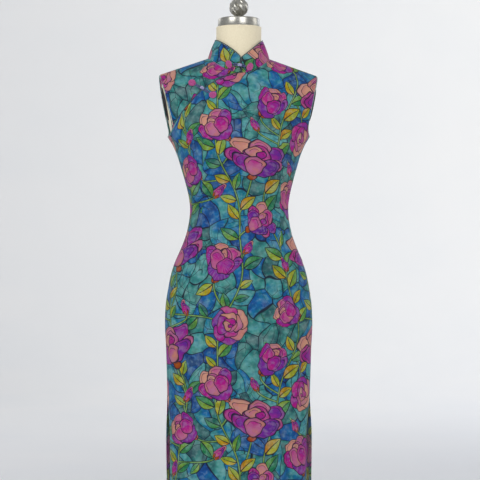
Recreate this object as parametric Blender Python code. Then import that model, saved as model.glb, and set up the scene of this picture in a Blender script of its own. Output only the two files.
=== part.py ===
"""A sleeveless cheongsam dress worn by a limbless dress form on a round stand.

Metres, +Z up, the front of the dress faces -Y and the wearer's right is at -X.
The origin is the centre of the stand's underside.

The dress is cut from a front panel, a small flap that lies under the front panel's
slanted opening, a back panel and a stand collar. Narrow piping finishes the collar,
the opening and both armholes, and two frogs close the dress.

Every panel lies on one closed garment surface. A point of it is found from
    c  its place across a row, from -1 at the wearer's right edge to +1 at the left edge
    v  its level: 0 at the hem, 1 at the underarm, 2 at the shoulder tip, 3 at the neck
"""

import math

import bmesh
import bpy
import numpy as np
from mathutils import Vector

# ---- Driving dimensions of the dress ----
HEM_Z = 0.250
SLIT_TOP_Z = 0.586
UNDERARM_Z = 1.191
SHOULDER_TIP = (0.190, 1.3435)  # x and z of the outer end of the shoulder seam
SIDE_NECK = (0.075, 1.383)  # x and z where the shoulder seam meets the collar
FRONT_NECK_Z = 1.343
BACK_NECK_Z = 1.385

CLOTH = 0.0015  # wall of a panel
COLLAR_CLOTH = 0.0020  # two layers and a stiffening
SEAM_GAP = 0.0006  # between two pieces that are sewn together
CLEAR = 0.0003  # between pieces that touch
PIPING_RADIUS = 0.0014
PIPING_GAP = 0.0006  # between a piping and the edge that it finishes

# ---- The garment's sections ----
# One row for each height: half width, y of the side seam, and how far the middle of
# the front and of the back stand from the side seam.
SECTION_COLUMNS = ("height", "half_width", "side_y", "front_depth", "back_depth")
SECTIONS = (
    (0.250, 0.1690, 0.006, 0.097, 0.097),
    (0.400, 0.1718, 0.006, 0.100, 0.100),
    (0.600, 0.1738, 0.006, 0.105, 0.105),
    (0.680, 0.1760, 0.006, 0.109, 0.109),
    (0.750, 0.1788, 0.007, 0.112, 0.112),
    (0.800, 0.1755, 0.007, 0.114, 0.113),
    (0.830, 0.1704, 0.007, 0.115, 0.112),
    (0.860, 0.1645, 0.006, 0.114, 0.109),
    (0.890, 0.1550, 0.004, 0.111, 0.105),
    (0.920, 0.1420, 0.001, 0.105, 0.099),
    (0.950, 0.1303, -0.002, 0.097, 0.091),
    (0.985, 0.1218, -0.004, 0.089, 0.083),
    (1.020, 0.1187, -0.005, 0.084, 0.080),
    (1.050, 0.1222, -0.004, 0.086, 0.082),
    (1.085, 0.1305, -0.001, 0.093, 0.088),
    (1.120, 0.1405, 0.002, 0.102, 0.093),
    (1.150, 0.1500, 0.005, 0.109, 0.096),
    (1.175, 0.1610, 0.008, 0.111, 0.098),
    (1.191, 0.1706, 0.010, 0.110, 0.098),
    (1.215, 0.1790, 0.011, 0.107, 0.098),
    (1.240, 0.1860, 0.012, 0.102, 0.096),
    (1.270, 0.1930, 0.012, 0.096, 0.093),
    (1.300, 0.1985, 0.012, 0.088, 0.088),
    (1.340, 0.2055, 0.012, 0.070, 0.081),
    (1.385, 0.2055, 0.012, 0.056, 0.066),
)
FRONT_ROUNDNESS = 2.2  # 2 is an ellipse, more is squarer
BACK_ROUNDNESS = 2.3
FRONT_SHOULDER_ROLL = 0.055  # height over which the shoulder rolls over to the front
BACK_SHOULDER_ROLL = 0.050

# How far forward and backward the armhole's edge runs at each level between the
# underarm (1) and the shoulder tip (2), as a share of the section's depth there.
ARMHOLE_COLUMNS = ("level", "front_share", "back_share")
ARMHOLE = (
    (1.000, 0.00, 0.00),
    (1.015, 0.19, 0.18),
    (1.050, 0.34, 0.32),
    (1.110, 0.43, 0.39),
    (1.200, 0.475, 0.42),
    (1.330, 0.490, 0.43),
    (1.500, 0.490, 0.43),
    (1.700, 0.475, 0.43),
    (1.860, 0.450, 0.44),
    (2.000, 0.433, 0.457),
)

# Rounded forms that stand out from the sections, one row for each.
BULGE_COLUMNS = ("side", "x", "height", "width", "rise_up", "rise_down", "depth")
BULGES = (
    ("front", 0.078, 1.142, 0.056, 0.068, 0.066, 0.0200),  # bust
    ("back", 0.072, 0.845, 0.058, 0.050, 0.055, 0.0080),  # seat
    ("back", 0.075, 1.270, 0.060, 0.050, 0.060, 0.0030),  # shoulder blades
)

# Soft hanging folds of the skirt, one row for each. c is where the fold starts and
# drift how far it has moved across at the hem, in shares of the half width.
FOLD_COLUMNS = ("side", "c", "drift", "top", "half_width", "depth")
FOLDS = (
    ("front", -0.66, -0.05, 0.760, 0.022, 0.0050),
    ("front", -0.30, 0.06, 0.640, 0.026, 0.0030),
    ("front", 0.16, -0.04, 0.700, 0.028, 0.0034),
    ("front", 0.60, 0.06, 0.770, 0.020, 0.0055),
    ("back", -0.58, 0.05, 0.740, 0.026, 0.0050),
    ("back", -0.14, -0.05, 0.690, 0.030, 0.0040),
    ("back", 0.28, 0.04, 0.730, 0.028, 0.0045),
    ("back", 0.68, -0.03, 0.760, 0.022, 0.0050),
)

# At the slits the front panel's edges draw in and the back panel's edges swing out.
SLIT_FULL_Z = 0.460  # height at which they have moved all the way
SLIT_FRONT_PULL = {-1: 0.0020, 1: 0.0060}
SLIT_BACK_FLARE = {-1: 0.0025, 1: 0.0035}
SLIT_HALF_OPEN = 0.0040

# ---- The slanted opening of the front panel ----
# It falls gently from the centre front of the neck and then curves down to the armhole.
OPENING_END_Z = 1.2130  # its height at the armhole's edge
OPENING_STRAIGHT_SHARE = 0.22  # of its fall that is even
OPENING_BEND = 2.3  # the rest of the fall grows with this power
FLAP_UNDERLAP = 0.045  # how far it reaches below the opening
FLAP_PAST_CENTRE = 0.12  # in shares of the half width
FLAP_SINK = CLOTH + 0.0010  # how deep the flap lies under the front panel
FLAP_RISE_LEVELS = 0.55  # over which it comes up to the garment's surface again

# ---- The collar ----
COLLAR_TOP_HALF_WIDTH = 0.0585
COLLAR_TOP_FRONT_Y = -0.0525
COLLAR_TOP_BACK_Y = 0.0630
COLLAR_TOP_FRONT_Z = 1.3785
COLLAR_TOP_SIDE_Z = 1.4255
COLLAR_TOP_BACK_Z = 1.430
COLLAR_NOTCH_BEND = 0.97  # 1 is a straight-sided notch at the front, less is a fuller one
COLLAR_FRONT_GAP = PIPING_RADIUS * 2 + CLEAR * 2  # from the centre line to the cloth

# ---- The frogs ----
COIL_RADIUS = 0.0092
COIL_RISE = 0.0034
COIL_CLEAR = 0.0009  # between the middle of a flat coil and the rounded cloth
CORD_RADIUS = 0.0016
KNOT_RADIUS = 0.0046
CORD_CLEAR = 0.0015  # between the cord's ends and the cloth
NECK_KNOT_LIFT = 0.0062  # how far the cord bows away from the cloth
OPENING_KNOT_LIFT = 0.0034

# ---- The dress form and its stand ----
FORM_BOTTOM_Z = 0.760
FORM_INSET = 0.0085  # the form lies this far inside the dress's outer surface
FORM_RIDGE_DROP = 0.0020
NECK_TOP_Z = 1.459
NECK_HALF_WIDTH = 0.0545
NECK_HALF_DEPTH = 0.0520
NECK_Y = 0.0060
# The form's arm ends are cut off flat, in a plane that leans outwards towards its top.
ARM_END_Z = 1.272
ARM_END_X = 0.1770
ARM_END_SLOPE = 0.20
ARM_TOP_HALF_WIDTH = 0.1860
ARM_PLATE_HALF_HEIGHT = 0.040
ARM_PLATE_HALF_WIDTH = 0.026
ARM_PLATE_THICKNESS = 0.003
ARM_PLATE_Y = 0.006
CAP_RADIUS = 0.0510
CAP_HEIGHT = 0.0210
POLE_RADIUS = 0.0125
BASE_RADIUS = 0.175
BASE_THICKNESS = 0.012
BASE_HUB_RADIUS = 0.026
BASE_HUB_TOP_Z = 0.045

# ---- Mesh density ----
FRONT_HALF_COLUMNS = 11
BACK_HALF_COLUMNS = 9
COLLAR_HALF_COLUMNS = 17
SKIRT_LEVELS = 25
ARMHOLE_ROW_LEVELS = (1.015, 1.05, 1.11, 1.2, 1.33, 1.5, 1.7, 1.86, 2.0)
SHOULDER_ROW_LEVELS = (2.25, 2.5, 2.75, 3.0)

# ---- Colours ----
COLOURS = {
    "print_fabric": ((0.12, 0.33, 0.38), 0.55, 0.0),
    "piping_fabric": ((0.02, 0.05, 0.08), 0.5, 0.0),
    "coil_fabric": ((0.45, 0.07, 0.28), 0.5, 0.0),
    "knot_fabric": ((0.03, 0.05, 0.14), 0.35, 0.0),
    "form_linen": ((0.80, 0.74, 0.60), 0.85, 0.0),
    "arm_plate_plastic": ((0.01, 0.01, 0.01), 0.4, 0.0),
    "polished_metal": ((0.75, 0.75, 0.73), 0.12, 1.0),
}


# ================= The garment's surface =================


def smooth(heights, values, at):
    """A smooth curve through a table's values, read at the heights asked for."""
    heights, values = np.asarray(heights, float), np.asarray(values, float)
    slopes = np.gradient(values, heights)
    at = np.clip(np.asarray(at, float), heights[0], heights[-1])
    i = np.clip(np.searchsorted(heights, at, side="right") - 1, 0, len(heights) - 2)
    step = heights[i + 1] - heights[i]
    t = (at - heights[i]) / step
    return (
        values[i] * (1 + 2 * t) * (1 - t) ** 2
        + slopes[i] * step * t * (1 - t) ** 2
        + values[i + 1] * t * t * (3 - 2 * t)
        + slopes[i + 1] * step * t * t * (t - 1)
    )


def column(table, names, name):
    return [row[names.index(name)] for row in table]


def section(name, z):
    heights = column(SECTIONS, SECTION_COLUMNS, "height")
    return smooth(heights, column(SECTIONS, SECTION_COLUMNS, name), z)


def ease(t):
    t = np.clip(t, 0.0, 1.0)
    return t * t * (3 - 2 * t)


def slit_share(z):
    """0 at the top of the slit, 1 where its edges have moved all the way."""
    return ease((SLIT_TOP_Z - np.asarray(z, float)) / (SLIT_TOP_Z - SLIT_FULL_Z))


def half_width(z, face, sign):
    """The half width of the front or the back on the side of that sign."""
    wide = section("half_width", z)
    if face == "front":
        moved = np.where(sign < 0, -SLIT_FRONT_PULL[-1], -SLIT_FRONT_PULL[1])
    else:
        moved = np.where(sign < 0, SLIT_BACK_FLARE[-1], SLIT_BACK_FLARE[1])
    return wide + moved * slit_share(z)


def ridge_z(x):
    """Height of the shoulder's ridge above a distance from the middle."""
    slope = (SIDE_NECK[1] - SHOULDER_TIP[1]) / (SHOULDER_TIP[0] - SIDE_NECK[0])
    return SIDE_NECK[1] - slope * (np.abs(x) - SIDE_NECK[0])


def bulges(face, x, z):
    total = np.zeros(np.broadcast(x, z).shape)
    for side, at, height, width, up, down, depth in BULGES:
        if side == face:
            rise = np.where(z > height, up, down)
            total = total + depth * np.exp(
                -(((np.abs(x) - at) / width) ** 2) - ((z - height) / rise) ** 2
            )
    return total


def folds(face, x, z):
    """How far the skirt's folds lie behind the smooth surface."""
    total = np.zeros(np.broadcast(x, z).shape)
    wide = section("half_width", z)
    for side, c, drift, top, half, depth in FOLDS:
        if side == face:
            fallen = np.clip((top - z) / (top - HEM_Z), 0.0, 1.0)
            across = (x - (c + drift * fallen) * wide) / half
            total = total + depth * ease(fallen * 2.2) * np.exp(-(across**2))
    return total


def depth_of(face, x, z, inset=0.0, wide=None, ridge_drop=0.0):
    """How far the surface stands in front of, or behind, the side seam's y."""
    front = face == "front"
    n = FRONT_ROUNDNESS if front else BACK_ROUNDNESS
    roll = FRONT_SHOULDER_ROLL if front else BACK_SHOULDER_ROLL
    reach = half_width(z, face, np.sign(x)) if wide is None else wide
    share = np.clip(np.abs(x) / reach, 0.0, 1.0)
    round_share = (1 - share**n) ** (1 / n)
    under = np.clip((ridge_z(x) - ridge_drop - z) / roll, 0.0, 1.0)
    rolled = np.sqrt(2 * under - under * under)
    full = section("front_depth" if front else "back_depth", z) - inset
    return (full + bulges(face, x, z)) * round_share * rolled - folds(face, x, z) * round_share


def surface_y(face, x, z):
    """The y of the dress's outer surface."""
    side_y = section("side_y", z)
    apart = SEAM_GAP / 2 + SLIT_HALF_OPEN * slit_share(z)
    deep = depth_of(face, x, z)
    return side_y - apart - deep if face == "front" else side_y + apart + deep


def armhole_share(face, level):
    name = face + "_share"
    return smooth(
        column(ARMHOLE, ARMHOLE_COLUMNS, "level"), column(ARMHOLE, ARMHOLE_COLUMNS, name), level
    )


def armhole_x(face, z, sign):
    """How far the armhole's edge stands from the middle at a height."""
    n = FRONT_ROUNDNESS if face == "front" else BACK_ROUNDNESS
    rise = np.clip((z - UNDERARM_Z) / (SHOULDER_TIP[1] - UNDERARM_Z), 0.0, 1.0)
    share = armhole_share(face, 1.0 + rise)
    return half_width(z, face, sign) * (1 - share**n) ** (1 / n)


def edge_of_row(face, level, sign):
    """x and z of a row's end, and z of its middle."""
    neck_z = FRONT_NECK_Z if face == "front" else BACK_NECK_Z
    tip_middle = UNDERARM_Z + (SHOULDER_TIP[1] - UNDERARM_Z) * (0.82 if face == "front" else 1.07)
    z_skirt = HEM_Z + (UNDERARM_Z - HEM_Z) * np.minimum(level, 1.0)
    rise = np.clip(level - 1.0, 0.0, 1.0)
    z_arm = UNDERARM_Z + (SHOULDER_TIP[1] - UNDERARM_Z) * rise
    z_arm_middle = UNDERARM_Z + (tip_middle - UNDERARM_Z) * rise
    inward = np.clip(level - 2.0, 0.0, 1.0)
    x_shoulder = SHOULDER_TIP[0] + (SIDE_NECK[0] - SHOULDER_TIP[0]) * inward
    x = np.where(level < 1, half_width(z_skirt, face, sign), armhole_x(face, z_arm, sign))
    x = np.where(level > 2, x_shoulder, x)
    z = np.where(level < 1, z_skirt, np.where(level > 2, ridge_z(x_shoulder), z_arm))
    z_neck_part = tip_middle + (neck_z - tip_middle) * inward
    middle = np.where(level < 1, z_skirt, np.where(level > 2, z_neck_part, z_arm_middle))
    return x, z, middle


def garment_point(face, c, level):
    """Points of the outer surface, as an array of x, y, z."""
    c, level = np.broadcast_arrays(np.asarray(c, float), np.asarray(level, float))
    x_edge, z_edge, z_middle = edge_of_row(face, level, np.sign(c))
    x = x_edge * c
    z = z_middle + (z_edge - z_middle) * c * c
    return np.stack([x, surface_y(face, x, z), z], axis=-1)


def opening_z(x):
    """Height of the slanted opening at a distance from the centre."""
    share = np.abs(x) / armhole_x("front", OPENING_END_Z, -1)
    fall = OPENING_STRAIGHT_SHARE * share + (1 - OPENING_STRAIGHT_SHARE) * share**OPENING_BEND
    return FRONT_NECK_Z - (FRONT_NECK_Z - OPENING_END_Z) * fall


def front_panel_point(c, level):
    """Points of the front panel, whose rows end at the opening at the wearer's right."""
    c, level = np.broadcast_arrays(np.asarray(c, float), np.asarray(level, float))
    rise = (edge_of_row("front", level, -1)[2] - UNDERARM_Z) / (FRONT_NECK_Z - UNDERARM_Z)
    x = c * armhole_x("front", UNDERARM_Z + (OPENING_END_Z - UNDERARM_Z) * rise, -1)
    top = opening_z(c * armhole_x("front", OPENING_END_Z, -1))
    z = UNDERARM_Z + (top - UNDERARM_Z) * rise
    under_opening = np.stack([x, surface_y("front", x, z), z], axis=-1)
    cut_away = (c < 0) & (level > 1)
    return np.where(cut_away[..., None], under_opening, garment_point("front", c, level))


def level_below_opening(c, drop):
    """The level, above the underarm, that lies a distance below the line of the opening."""
    c = np.asarray(c, float)
    low, high = np.ones(c.shape), np.full(c.shape, 3.0)
    for _ in range(30):
        middle = (low + high) / 2
        spot = garment_point("front", c, middle)
        above = spot[..., 2] > opening_z(spot[..., 0]) - drop
        low, high = np.where(above, low, middle), np.where(above, middle, high)
    return high


def opening_level(c):
    """The level at which the front panel ends: at the opening at the wearer's right."""
    c = np.asarray(c, float)
    return np.where(c < -1e-6, level_below_opening(c, 0.0), 3.0)


def unit(vectors):
    return vectors / np.linalg.norm(vectors, axis=-1, keepdims=True)


def outward(grid, face):
    """Unit normals of a grid of points, rows going up and columns going to +X."""
    along = np.gradient(grid, axis=1)
    up = np.gradient(grid, axis=0)
    normal = unit(np.cross(along, up))
    return normal if face == "front" else -normal


# ================= Solids =================


def material(name):
    colour, roughness, metallic = COLOURS[name]
    made = bpy.data.materials.get(name) or bpy.data.materials.new(name)
    made.use_nodes = True
    shader = made.node_tree.nodes["Principled BSDF"]
    shader.inputs["Base Color"].default_value = (*colour, 1.0)
    shader.inputs["Roughness"].default_value = roughness
    shader.inputs["Metallic"].default_value = metallic
    return made


def add_object(name, data, material_name):
    obj = bpy.data.objects.new(name, data)
    data.materials.append(material(material_name))
    bpy.context.scene.collection.objects.link(obj)
    return obj


def object_from_bmesh(name, bm, material_name):
    bmesh.ops.recalc_face_normals(bm, faces=bm.faces)
    mesh = bpy.data.meshes.new(name)
    bm.to_mesh(mesh)
    bm.free()
    mesh.shade_smooth()
    return add_object(name, mesh, material_name)


def skin(bm, rows, closed=False):
    """Quads between rows of points. Closed rows run all the way round."""
    made = [[bm.verts.new(p) for p in row] for row in rows]
    for low, high in zip(made, made[1:]):
        count = len(low)
        for i in range(count if closed else count - 1):
            j = (i + 1) % count
            bm.faces.new((low[i], low[j], high[j], high[i]))
    return made


def cloth_wall(name, outer, face, thickness, material_name, seam_normals=()):
    """A panel: its outer grid, the same grid moved in, and the rim between them.

    seam_normals names the edges that meet another panel across the side seam's y, where
    the wall is moved in square to the seam.
    """
    normal = outward(outer, face)
    for edge in seam_normals:
        square = normal[edge].copy()
        square[..., 1] = 0.0
        normal[edge] = unit(square)
    inner = outer - normal * thickness
    bm = bmesh.new()
    front_skin = skin(bm, outer)
    back_skin = skin(bm, inner)
    loops = []
    for grid in (front_skin, back_skin):
        right = [row[-1] for row in grid[1:]]
        left = [row[0] for row in reversed(grid[:-1])]
        loops.append(grid[0] + right + list(reversed(grid[-1][:-1])) + left[:-1])
    for i in range(len(loops[0])):
        j = (i + 1) % len(loops[0])
        bm.faces.new((loops[0][i], loops[0][j], loops[1][j], loops[1][i]))
    return object_from_bmesh(name, bm, material_name)


def loft(name, rings, material_name):
    """A closed solid through rings of points, with a flat cap on the first and the last."""
    bm = bmesh.new()
    made = skin(bm, rings, closed=True)
    bm.faces.new(list(reversed(made[0])))
    bm.faces.new(made[-1])
    return object_from_bmesh(name, bm, material_name)


def piping(name, points, closed=False, radius=PIPING_RADIUS, material_name="piping_fabric"):
    """A six-sided tube along a row of points."""
    curve = bpy.data.curves.new(name, "CURVE")
    curve.dimensions = "3D"
    curve.bevel_depth = radius
    curve.bevel_resolution = 1
    curve.use_fill_caps = not closed
    spline = curve.splines.new("POLY")
    spline.points.add(len(points) - 1)
    for spot, p in zip(spline.points, points):
        spot.co = (*p, 1.0)
    spline.use_cyclic_u = closed
    return add_object(name, curve, material_name)


# ================= The dress =================


def half_columns(count):
    """Shares across half a panel, closer together towards the side seam."""
    turns = np.linspace(0.0, math.pi / 2, count + 1)
    return np.sin(turns) ** (2 / FRONT_ROUNDNESS)


def columns(count):
    right = half_columns(count)
    return np.concatenate([-right[:0:-1], right])


def skirt_levels(count):
    """Levels from the hem to the underarm, closer together round the waist and bust."""
    even = np.linspace(0.0, 1.0, count)
    return even**0.80


def row_levels():
    return np.concatenate([skirt_levels(SKIRT_LEVELS), ARMHOLE_ROW_LEVELS, SHOULDER_ROW_LEVELS])


def make_front_panel():
    c, level = np.meshgrid(columns(FRONT_HALF_COLUMNS), row_levels())
    grid = front_panel_point(c, level)
    seams = ((slice(0, SKIRT_LEVELS), 0), (slice(0, SKIRT_LEVELS), -1), (slice(-5, None), -1))
    cloth_wall("front_panel", grid, "front", CLOTH, "print_fabric", seams)


def make_back_panel():
    c, level = np.meshgrid(columns(BACK_HALF_COLUMNS), row_levels())
    grid = garment_point("back", c, level)
    seams = (
        (slice(0, SKIRT_LEVELS), 0),
        (slice(0, SKIRT_LEVELS), -1),
        (slice(-5, None), 0),
        (slice(-5, None), -1),
    )
    cloth_wall("back_panel", grid, "back", CLOTH, "print_fabric", seams)


def flap_sink(c, level):
    """How deep the flap lies: under the front panel below the opening, up on the surface above."""
    above = (level - opening_level(c)) / FLAP_RISE_LEVELS
    return FLAP_SINK * (1 - ease(above))


def make_under_flap():
    c = np.concatenate([-half_columns(FRONT_HALF_COLUMNS)[:0:-1], [0.0, FLAP_PAST_CENTRE]])
    rows = np.array(ARMHOLE_ROW_LEVELS + SHOULDER_ROW_LEVELS)
    low = np.maximum(level_below_opening(c, FLAP_UNDERLAP), rows[0])
    share = (rows - rows[0]) / (3.0 - rows[0])
    level = low + (3.0 - low) * share[:, None]
    c = np.broadcast_to(c, level.shape)
    grid = garment_point("front", c, level)
    grid = grid - outward(grid, "front") * flap_sink(c, level)[..., None]
    cloth_wall("under_flap", grid, "front", CLOTH, "print_fabric", ((slice(-5, None), 0),))


# ---- Collar ----


def neck_ring(turn):
    """The neckline. turn is 0 at the centre front, 1/4 at the left side, 1/2 at the back."""
    turn = np.asarray(turn, float) % 1.0
    share = np.sin(turn * 2 * math.pi)
    front = garment_point("front", share, 3.0)
    back = garment_point("back", share, 3.0)
    ahead = np.cos(turn * 2 * math.pi)[..., None] > 0
    return np.where(ahead, front, back)


def collar_top_ring(turn):
    angle = np.asarray(turn, float) * 2 * math.pi
    middle_y = (COLLAR_TOP_FRONT_Y + COLLAR_TOP_BACK_Y) / 2
    half_depth = (COLLAR_TOP_BACK_Y - COLLAR_TOP_FRONT_Y) / 2
    x = COLLAR_TOP_HALF_WIDTH * np.sin(angle)
    y = middle_y - half_depth * np.cos(angle)
    to_front = np.where(np.cos(angle) > 0, 1 - np.abs(np.sin(angle)) ** COLLAR_NOTCH_BEND, 0.0)
    to_back = np.clip(-np.cos(angle), 0.0, 1.0)
    z = (
        COLLAR_TOP_SIDE_Z
        + (COLLAR_TOP_FRONT_Z - COLLAR_TOP_SIDE_Z) * to_front
        + (COLLAR_TOP_BACK_Z - COLLAR_TOP_SIDE_Z) * to_back
    )
    return np.stack([x, y, z], axis=-1)


def collar_point(turn, share, out=0.0):
    """A point of the collar's outer surface: share 0 at the neckline, 1 at the top edge."""
    low, high = neck_ring(turn), collar_top_ring(turn)
    low = low + unit(high - low) * CLEAR
    swell = 0.0012 * np.sin(np.asarray(share) * math.pi)[..., None]
    away = unit((low + high) / 2 * np.array([1.0, 1.0, 0.0]))
    return low + (high - low) * np.asarray(share)[..., None] + away * (swell + out)


def collar_turns():
    """Turns from one front edge round the back to the other."""
    gap = COLLAR_FRONT_GAP / (2 * math.pi * COLLAR_TOP_HALF_WIDTH)
    half = gap + (0.5 - gap) * np.linspace(0.0, 1.0, COLLAR_HALF_COLUMNS) ** 1.25
    return np.concatenate([half, 1 - half[-2::-1]])


def make_collar():
    turn, share = np.meshgrid(collar_turns(), np.linspace(0.0, 1.0, 5))
    grid = collar_point(turn, share)
    cloth_wall("collar", grid, "front", COLLAR_CLOTH, "print_fabric")


def make_collar_piping():
    """Up one front edge, round the top edge and down the other front edge."""
    beside = PIPING_RADIUS + CLEAR
    middle = -COLLAR_CLOTH / 2
    turns = collar_turns()
    climb = np.linspace(0.06, 0.93, 4)
    first = collar_point(np.full(4, turns[0]), climb, middle)
    last = collar_point(np.full(4, turns[-1]), climb[::-1], middle)
    top = collar_point(turns, np.ones(len(turns)), middle)
    path = np.concatenate([first, top, last])
    tangent = unit(np.gradient(path, axis=0))
    away = unit(path * np.array([1.0, 1.0, 0.0]))
    side = unit(np.cross(tangent, away))
    path = path - side * beside
    piping("collar_piping", path)


# ---- Piping of the opening and the armholes ----


def beside_edge(edge, inside, normal, deep, reach):
    """Points next to an edge: pushed away from the cloth's inner point and sunk into its wall."""
    tangent = unit(np.gradient(edge, axis=0))
    side = unit(np.cross(tangent, normal))
    side = side * np.sign(np.sum(side * (edge - inside), axis=-1, keepdims=True))
    return edge + side * reach - normal * deep


def edge_normals(point, c, level):
    """Normals of a surface at single points of its edge, for rows that run towards +X."""
    step = 0.004
    here = point(c, level)
    across = (point(c - np.sign(c) * step, level) - here) * -np.sign(c)[..., None]
    up = here - point(c, level - step)
    return unit(np.cross(across, up))


def make_opening_piping():
    c = -half_columns(FRONT_HALF_COLUMNS)[1:]
    c = np.concatenate([[(c[0] + c[1]) / 2], c[1:-1], [c[-1] * 0.985]])
    edge = front_panel_point(c, 3.0)
    inside = front_panel_point(c, 2.9)
    normal = edge_normals(front_panel_point, c, np.full(c.shape, 3.0))
    reach = PIPING_RADIUS + PIPING_GAP
    deep = FLAP_SINK - 2 * PIPING_GAP - PIPING_RADIUS
    piping("opening_piping", beside_edge(edge, inside, normal, deep, reach))


def armhole_path(sign):
    """Round one armhole: up its front edge and down its back edge."""
    level = np.array((1.0, *ARMHOLE_ROW_LEVELS))
    rings = []
    for face in ("front", "back"):
        c = np.full(level.shape, float(sign))
        edge = garment_point(face, c, level)
        inside = garment_point(face, c * 0.94, np.maximum(level - 0.06, 0.9))
        normal = edge_normals(lambda across, up: garment_point(face, across, up), c, level)
        if face == "back":
            normal = -normal
        rings.append(beside_edge(edge, inside, normal, CLOTH / 2, PIPING_RADIUS + PIPING_GAP))
    front, back = rings
    underarm = (front[0] + back[0]) / 2
    tip = (front[-1] + back[-1]) / 2
    return np.concatenate([[underarm], front[1:-1], [tip], back[-2:0:-1]])


def make_armhole_piping():
    piping("armhole_piping_left", armhole_path(1), closed=True)
    piping("armhole_piping_right", armhole_path(-1), closed=True)


# ---- Frogs ----


def surface_frame(at):
    """Centre, two in-surface directions and the normal, from a function of (right, up)."""
    step = 0.002
    centre = at(0.0, 0.0)
    right = unit(at(step, 0.0) - at(-step, 0.0))
    up = unit(at(0.0, step) - at(0.0, -step))
    normal = unit(np.cross(right, up))
    return centre, right, up, normal


def chest_at(x, z, sink):
    """A function of (right, up) in metres, on the front of the garment round one point."""

    def at(right, up):
        px, pz = x + right, z + up
        return np.array([px, float(surface_y("front", np.array(px), np.array(pz))) + sink, pz])

    return at


def collar_at(turn, share):
    """A function of (right, up) in metres, on the collar round one point."""
    tall = COLLAR_TOP_FRONT_Z - FRONT_NECK_Z
    round_it = 2 * math.pi * (COLLAR_TOP_HALF_WIDTH + SIDE_NECK[0]) / 2

    def at(right, up):
        spot = (turn + right / round_it) % 1.0
        return collar_point(np.array(spot), np.array(share + up / tall))

    return at


def make_coil(name, at):
    """A round coil of cord: a raised ring round a raised heart, lying on the cloth."""
    centre, right, up, normal = surface_frame(at)
    profile = ((1.0, 0.05), (1.0, 0.55), (0.80, 1.0), (0.62, 0.62), (0.42, 0.95), (0.2, 0.72))
    sides = 14
    rings = []
    for radius_share, height_share in ((0.96, 0.0), *profile):
        ring = []
        for i in range(sides):
            angle = 2 * math.pi * i / sides
            r = COIL_RADIUS * radius_share
            on = centre + (right * math.cos(angle) + up * math.sin(angle)) * r
            ring.append(on + normal * (COIL_CLEAR + COIL_RISE * height_share))
        rings.append(ring)
    loft(name, rings, "coil_fabric")


def make_knot(name, start, end, lift_over):
    """The cord between two coils, which swells to a knot half way."""
    a, _, _, normal_a = surface_frame(start)
    b, _, _, normal_b = surface_frame(end)
    direction = unit(b - a)
    normal = unit(normal_a + normal_b)
    across = unit(np.cross(normal, direction))
    normal = unit(np.cross(direction, across))
    first = a + direction * (COIL_RADIUS + CLEAR)
    last = b - direction * (COIL_RADIUS + CLEAR)
    rings = []
    for t in np.linspace(0.0, 1.0, 13):
        swell = math.sqrt(max(0.0, 1 - ((t - 0.5) / 0.27) ** 2))
        radius = CORD_RADIUS + (KNOT_RADIUS - CORD_RADIUS) * swell
        lift = radius + lift_over * math.sin(math.pi * t) + CORD_CLEAR
        middle = first + (last - first) * t + normal * lift
        ring = []
        for i in range(8):
            angle = 2 * math.pi * i / 8
            ring.append(middle + (across * math.cos(angle) + normal * math.sin(angle)) * radius)
        rings.append(ring)
    loft(name, rings, "knot_fabric")


NECK_FROG = ((-0.0270, 0.27), (0.0190, 0.22))  # metres round the collar, share of its height
# x and z of the two coils, and how deep the cloth lies under the garment's surface there.
OPENING_FROG = ((-0.1158, 1.3169, 0.0016), (-0.0694, 1.2871, 0.0))


def make_frogs():
    round_it = 2 * math.pi * (COLLAR_TOP_HALF_WIDTH + SIDE_NECK[0]) / 2
    right_coil, left_coil = (
        collar_at((along / round_it) % 1.0, share) for along, share in NECK_FROG
    )
    make_coil("neck_frog_coil_right", right_coil)
    make_coil("neck_frog_coil_left", left_coil)
    make_knot("neck_frog_knot", right_coil, left_coil, NECK_KNOT_LIFT)
    upper, lower = (chest_at(x, z, sink) for x, z, sink in OPENING_FROG)
    make_coil("opening_frog_coil_right", upper)
    make_coil("opening_frog_coil_left", lower)
    make_knot("opening_frog_knot", upper, lower, OPENING_KNOT_LIFT)


# ================= The dress form and its stand =================


def arm_end_x(z):
    """Where the flat arm end stands at a height."""
    return min(ARM_END_X + ARM_END_SLOPE * (z - ARM_END_Z), ARM_TOP_HALF_WIDTH)


def form_ring(z, count):
    """One level ring of the form, from the wearer's right round the front."""
    slope = (SIDE_NECK[1] - SHOULDER_TIP[1]) / (SHOULDER_TIP[0] - SIDE_NECK[0])
    ridge_x = SIDE_NECK[0] + (SIDE_NECK[1] - FORM_RIDGE_DROP - z) / slope
    wide = float(section("half_width", z)) - FORM_INSET
    reach = min(wide, ridge_x, arm_end_x(z))
    side_y = float(section("side_y", z))
    ring = []
    for face, sign in (("front", -1.0), ("back", 1.0)):
        turns = np.linspace(0.0, math.pi, count + 1)[:-1]
        c = sign * np.cos(turns) * np.abs(np.cos(turns)) ** (2 / FRONT_ROUNDNESS - 1)
        x = c * reach
        deep = depth_of(face, x, np.full(x.shape, z), FORM_INSET, wide, FORM_RIDGE_DROP)
        deep = np.maximum(deep, 0.0)
        y = side_y - deep if face == "front" else side_y + deep
        ring += [(float(a), float(b), z) for a, b in zip(x, y)]
    return ring


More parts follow.
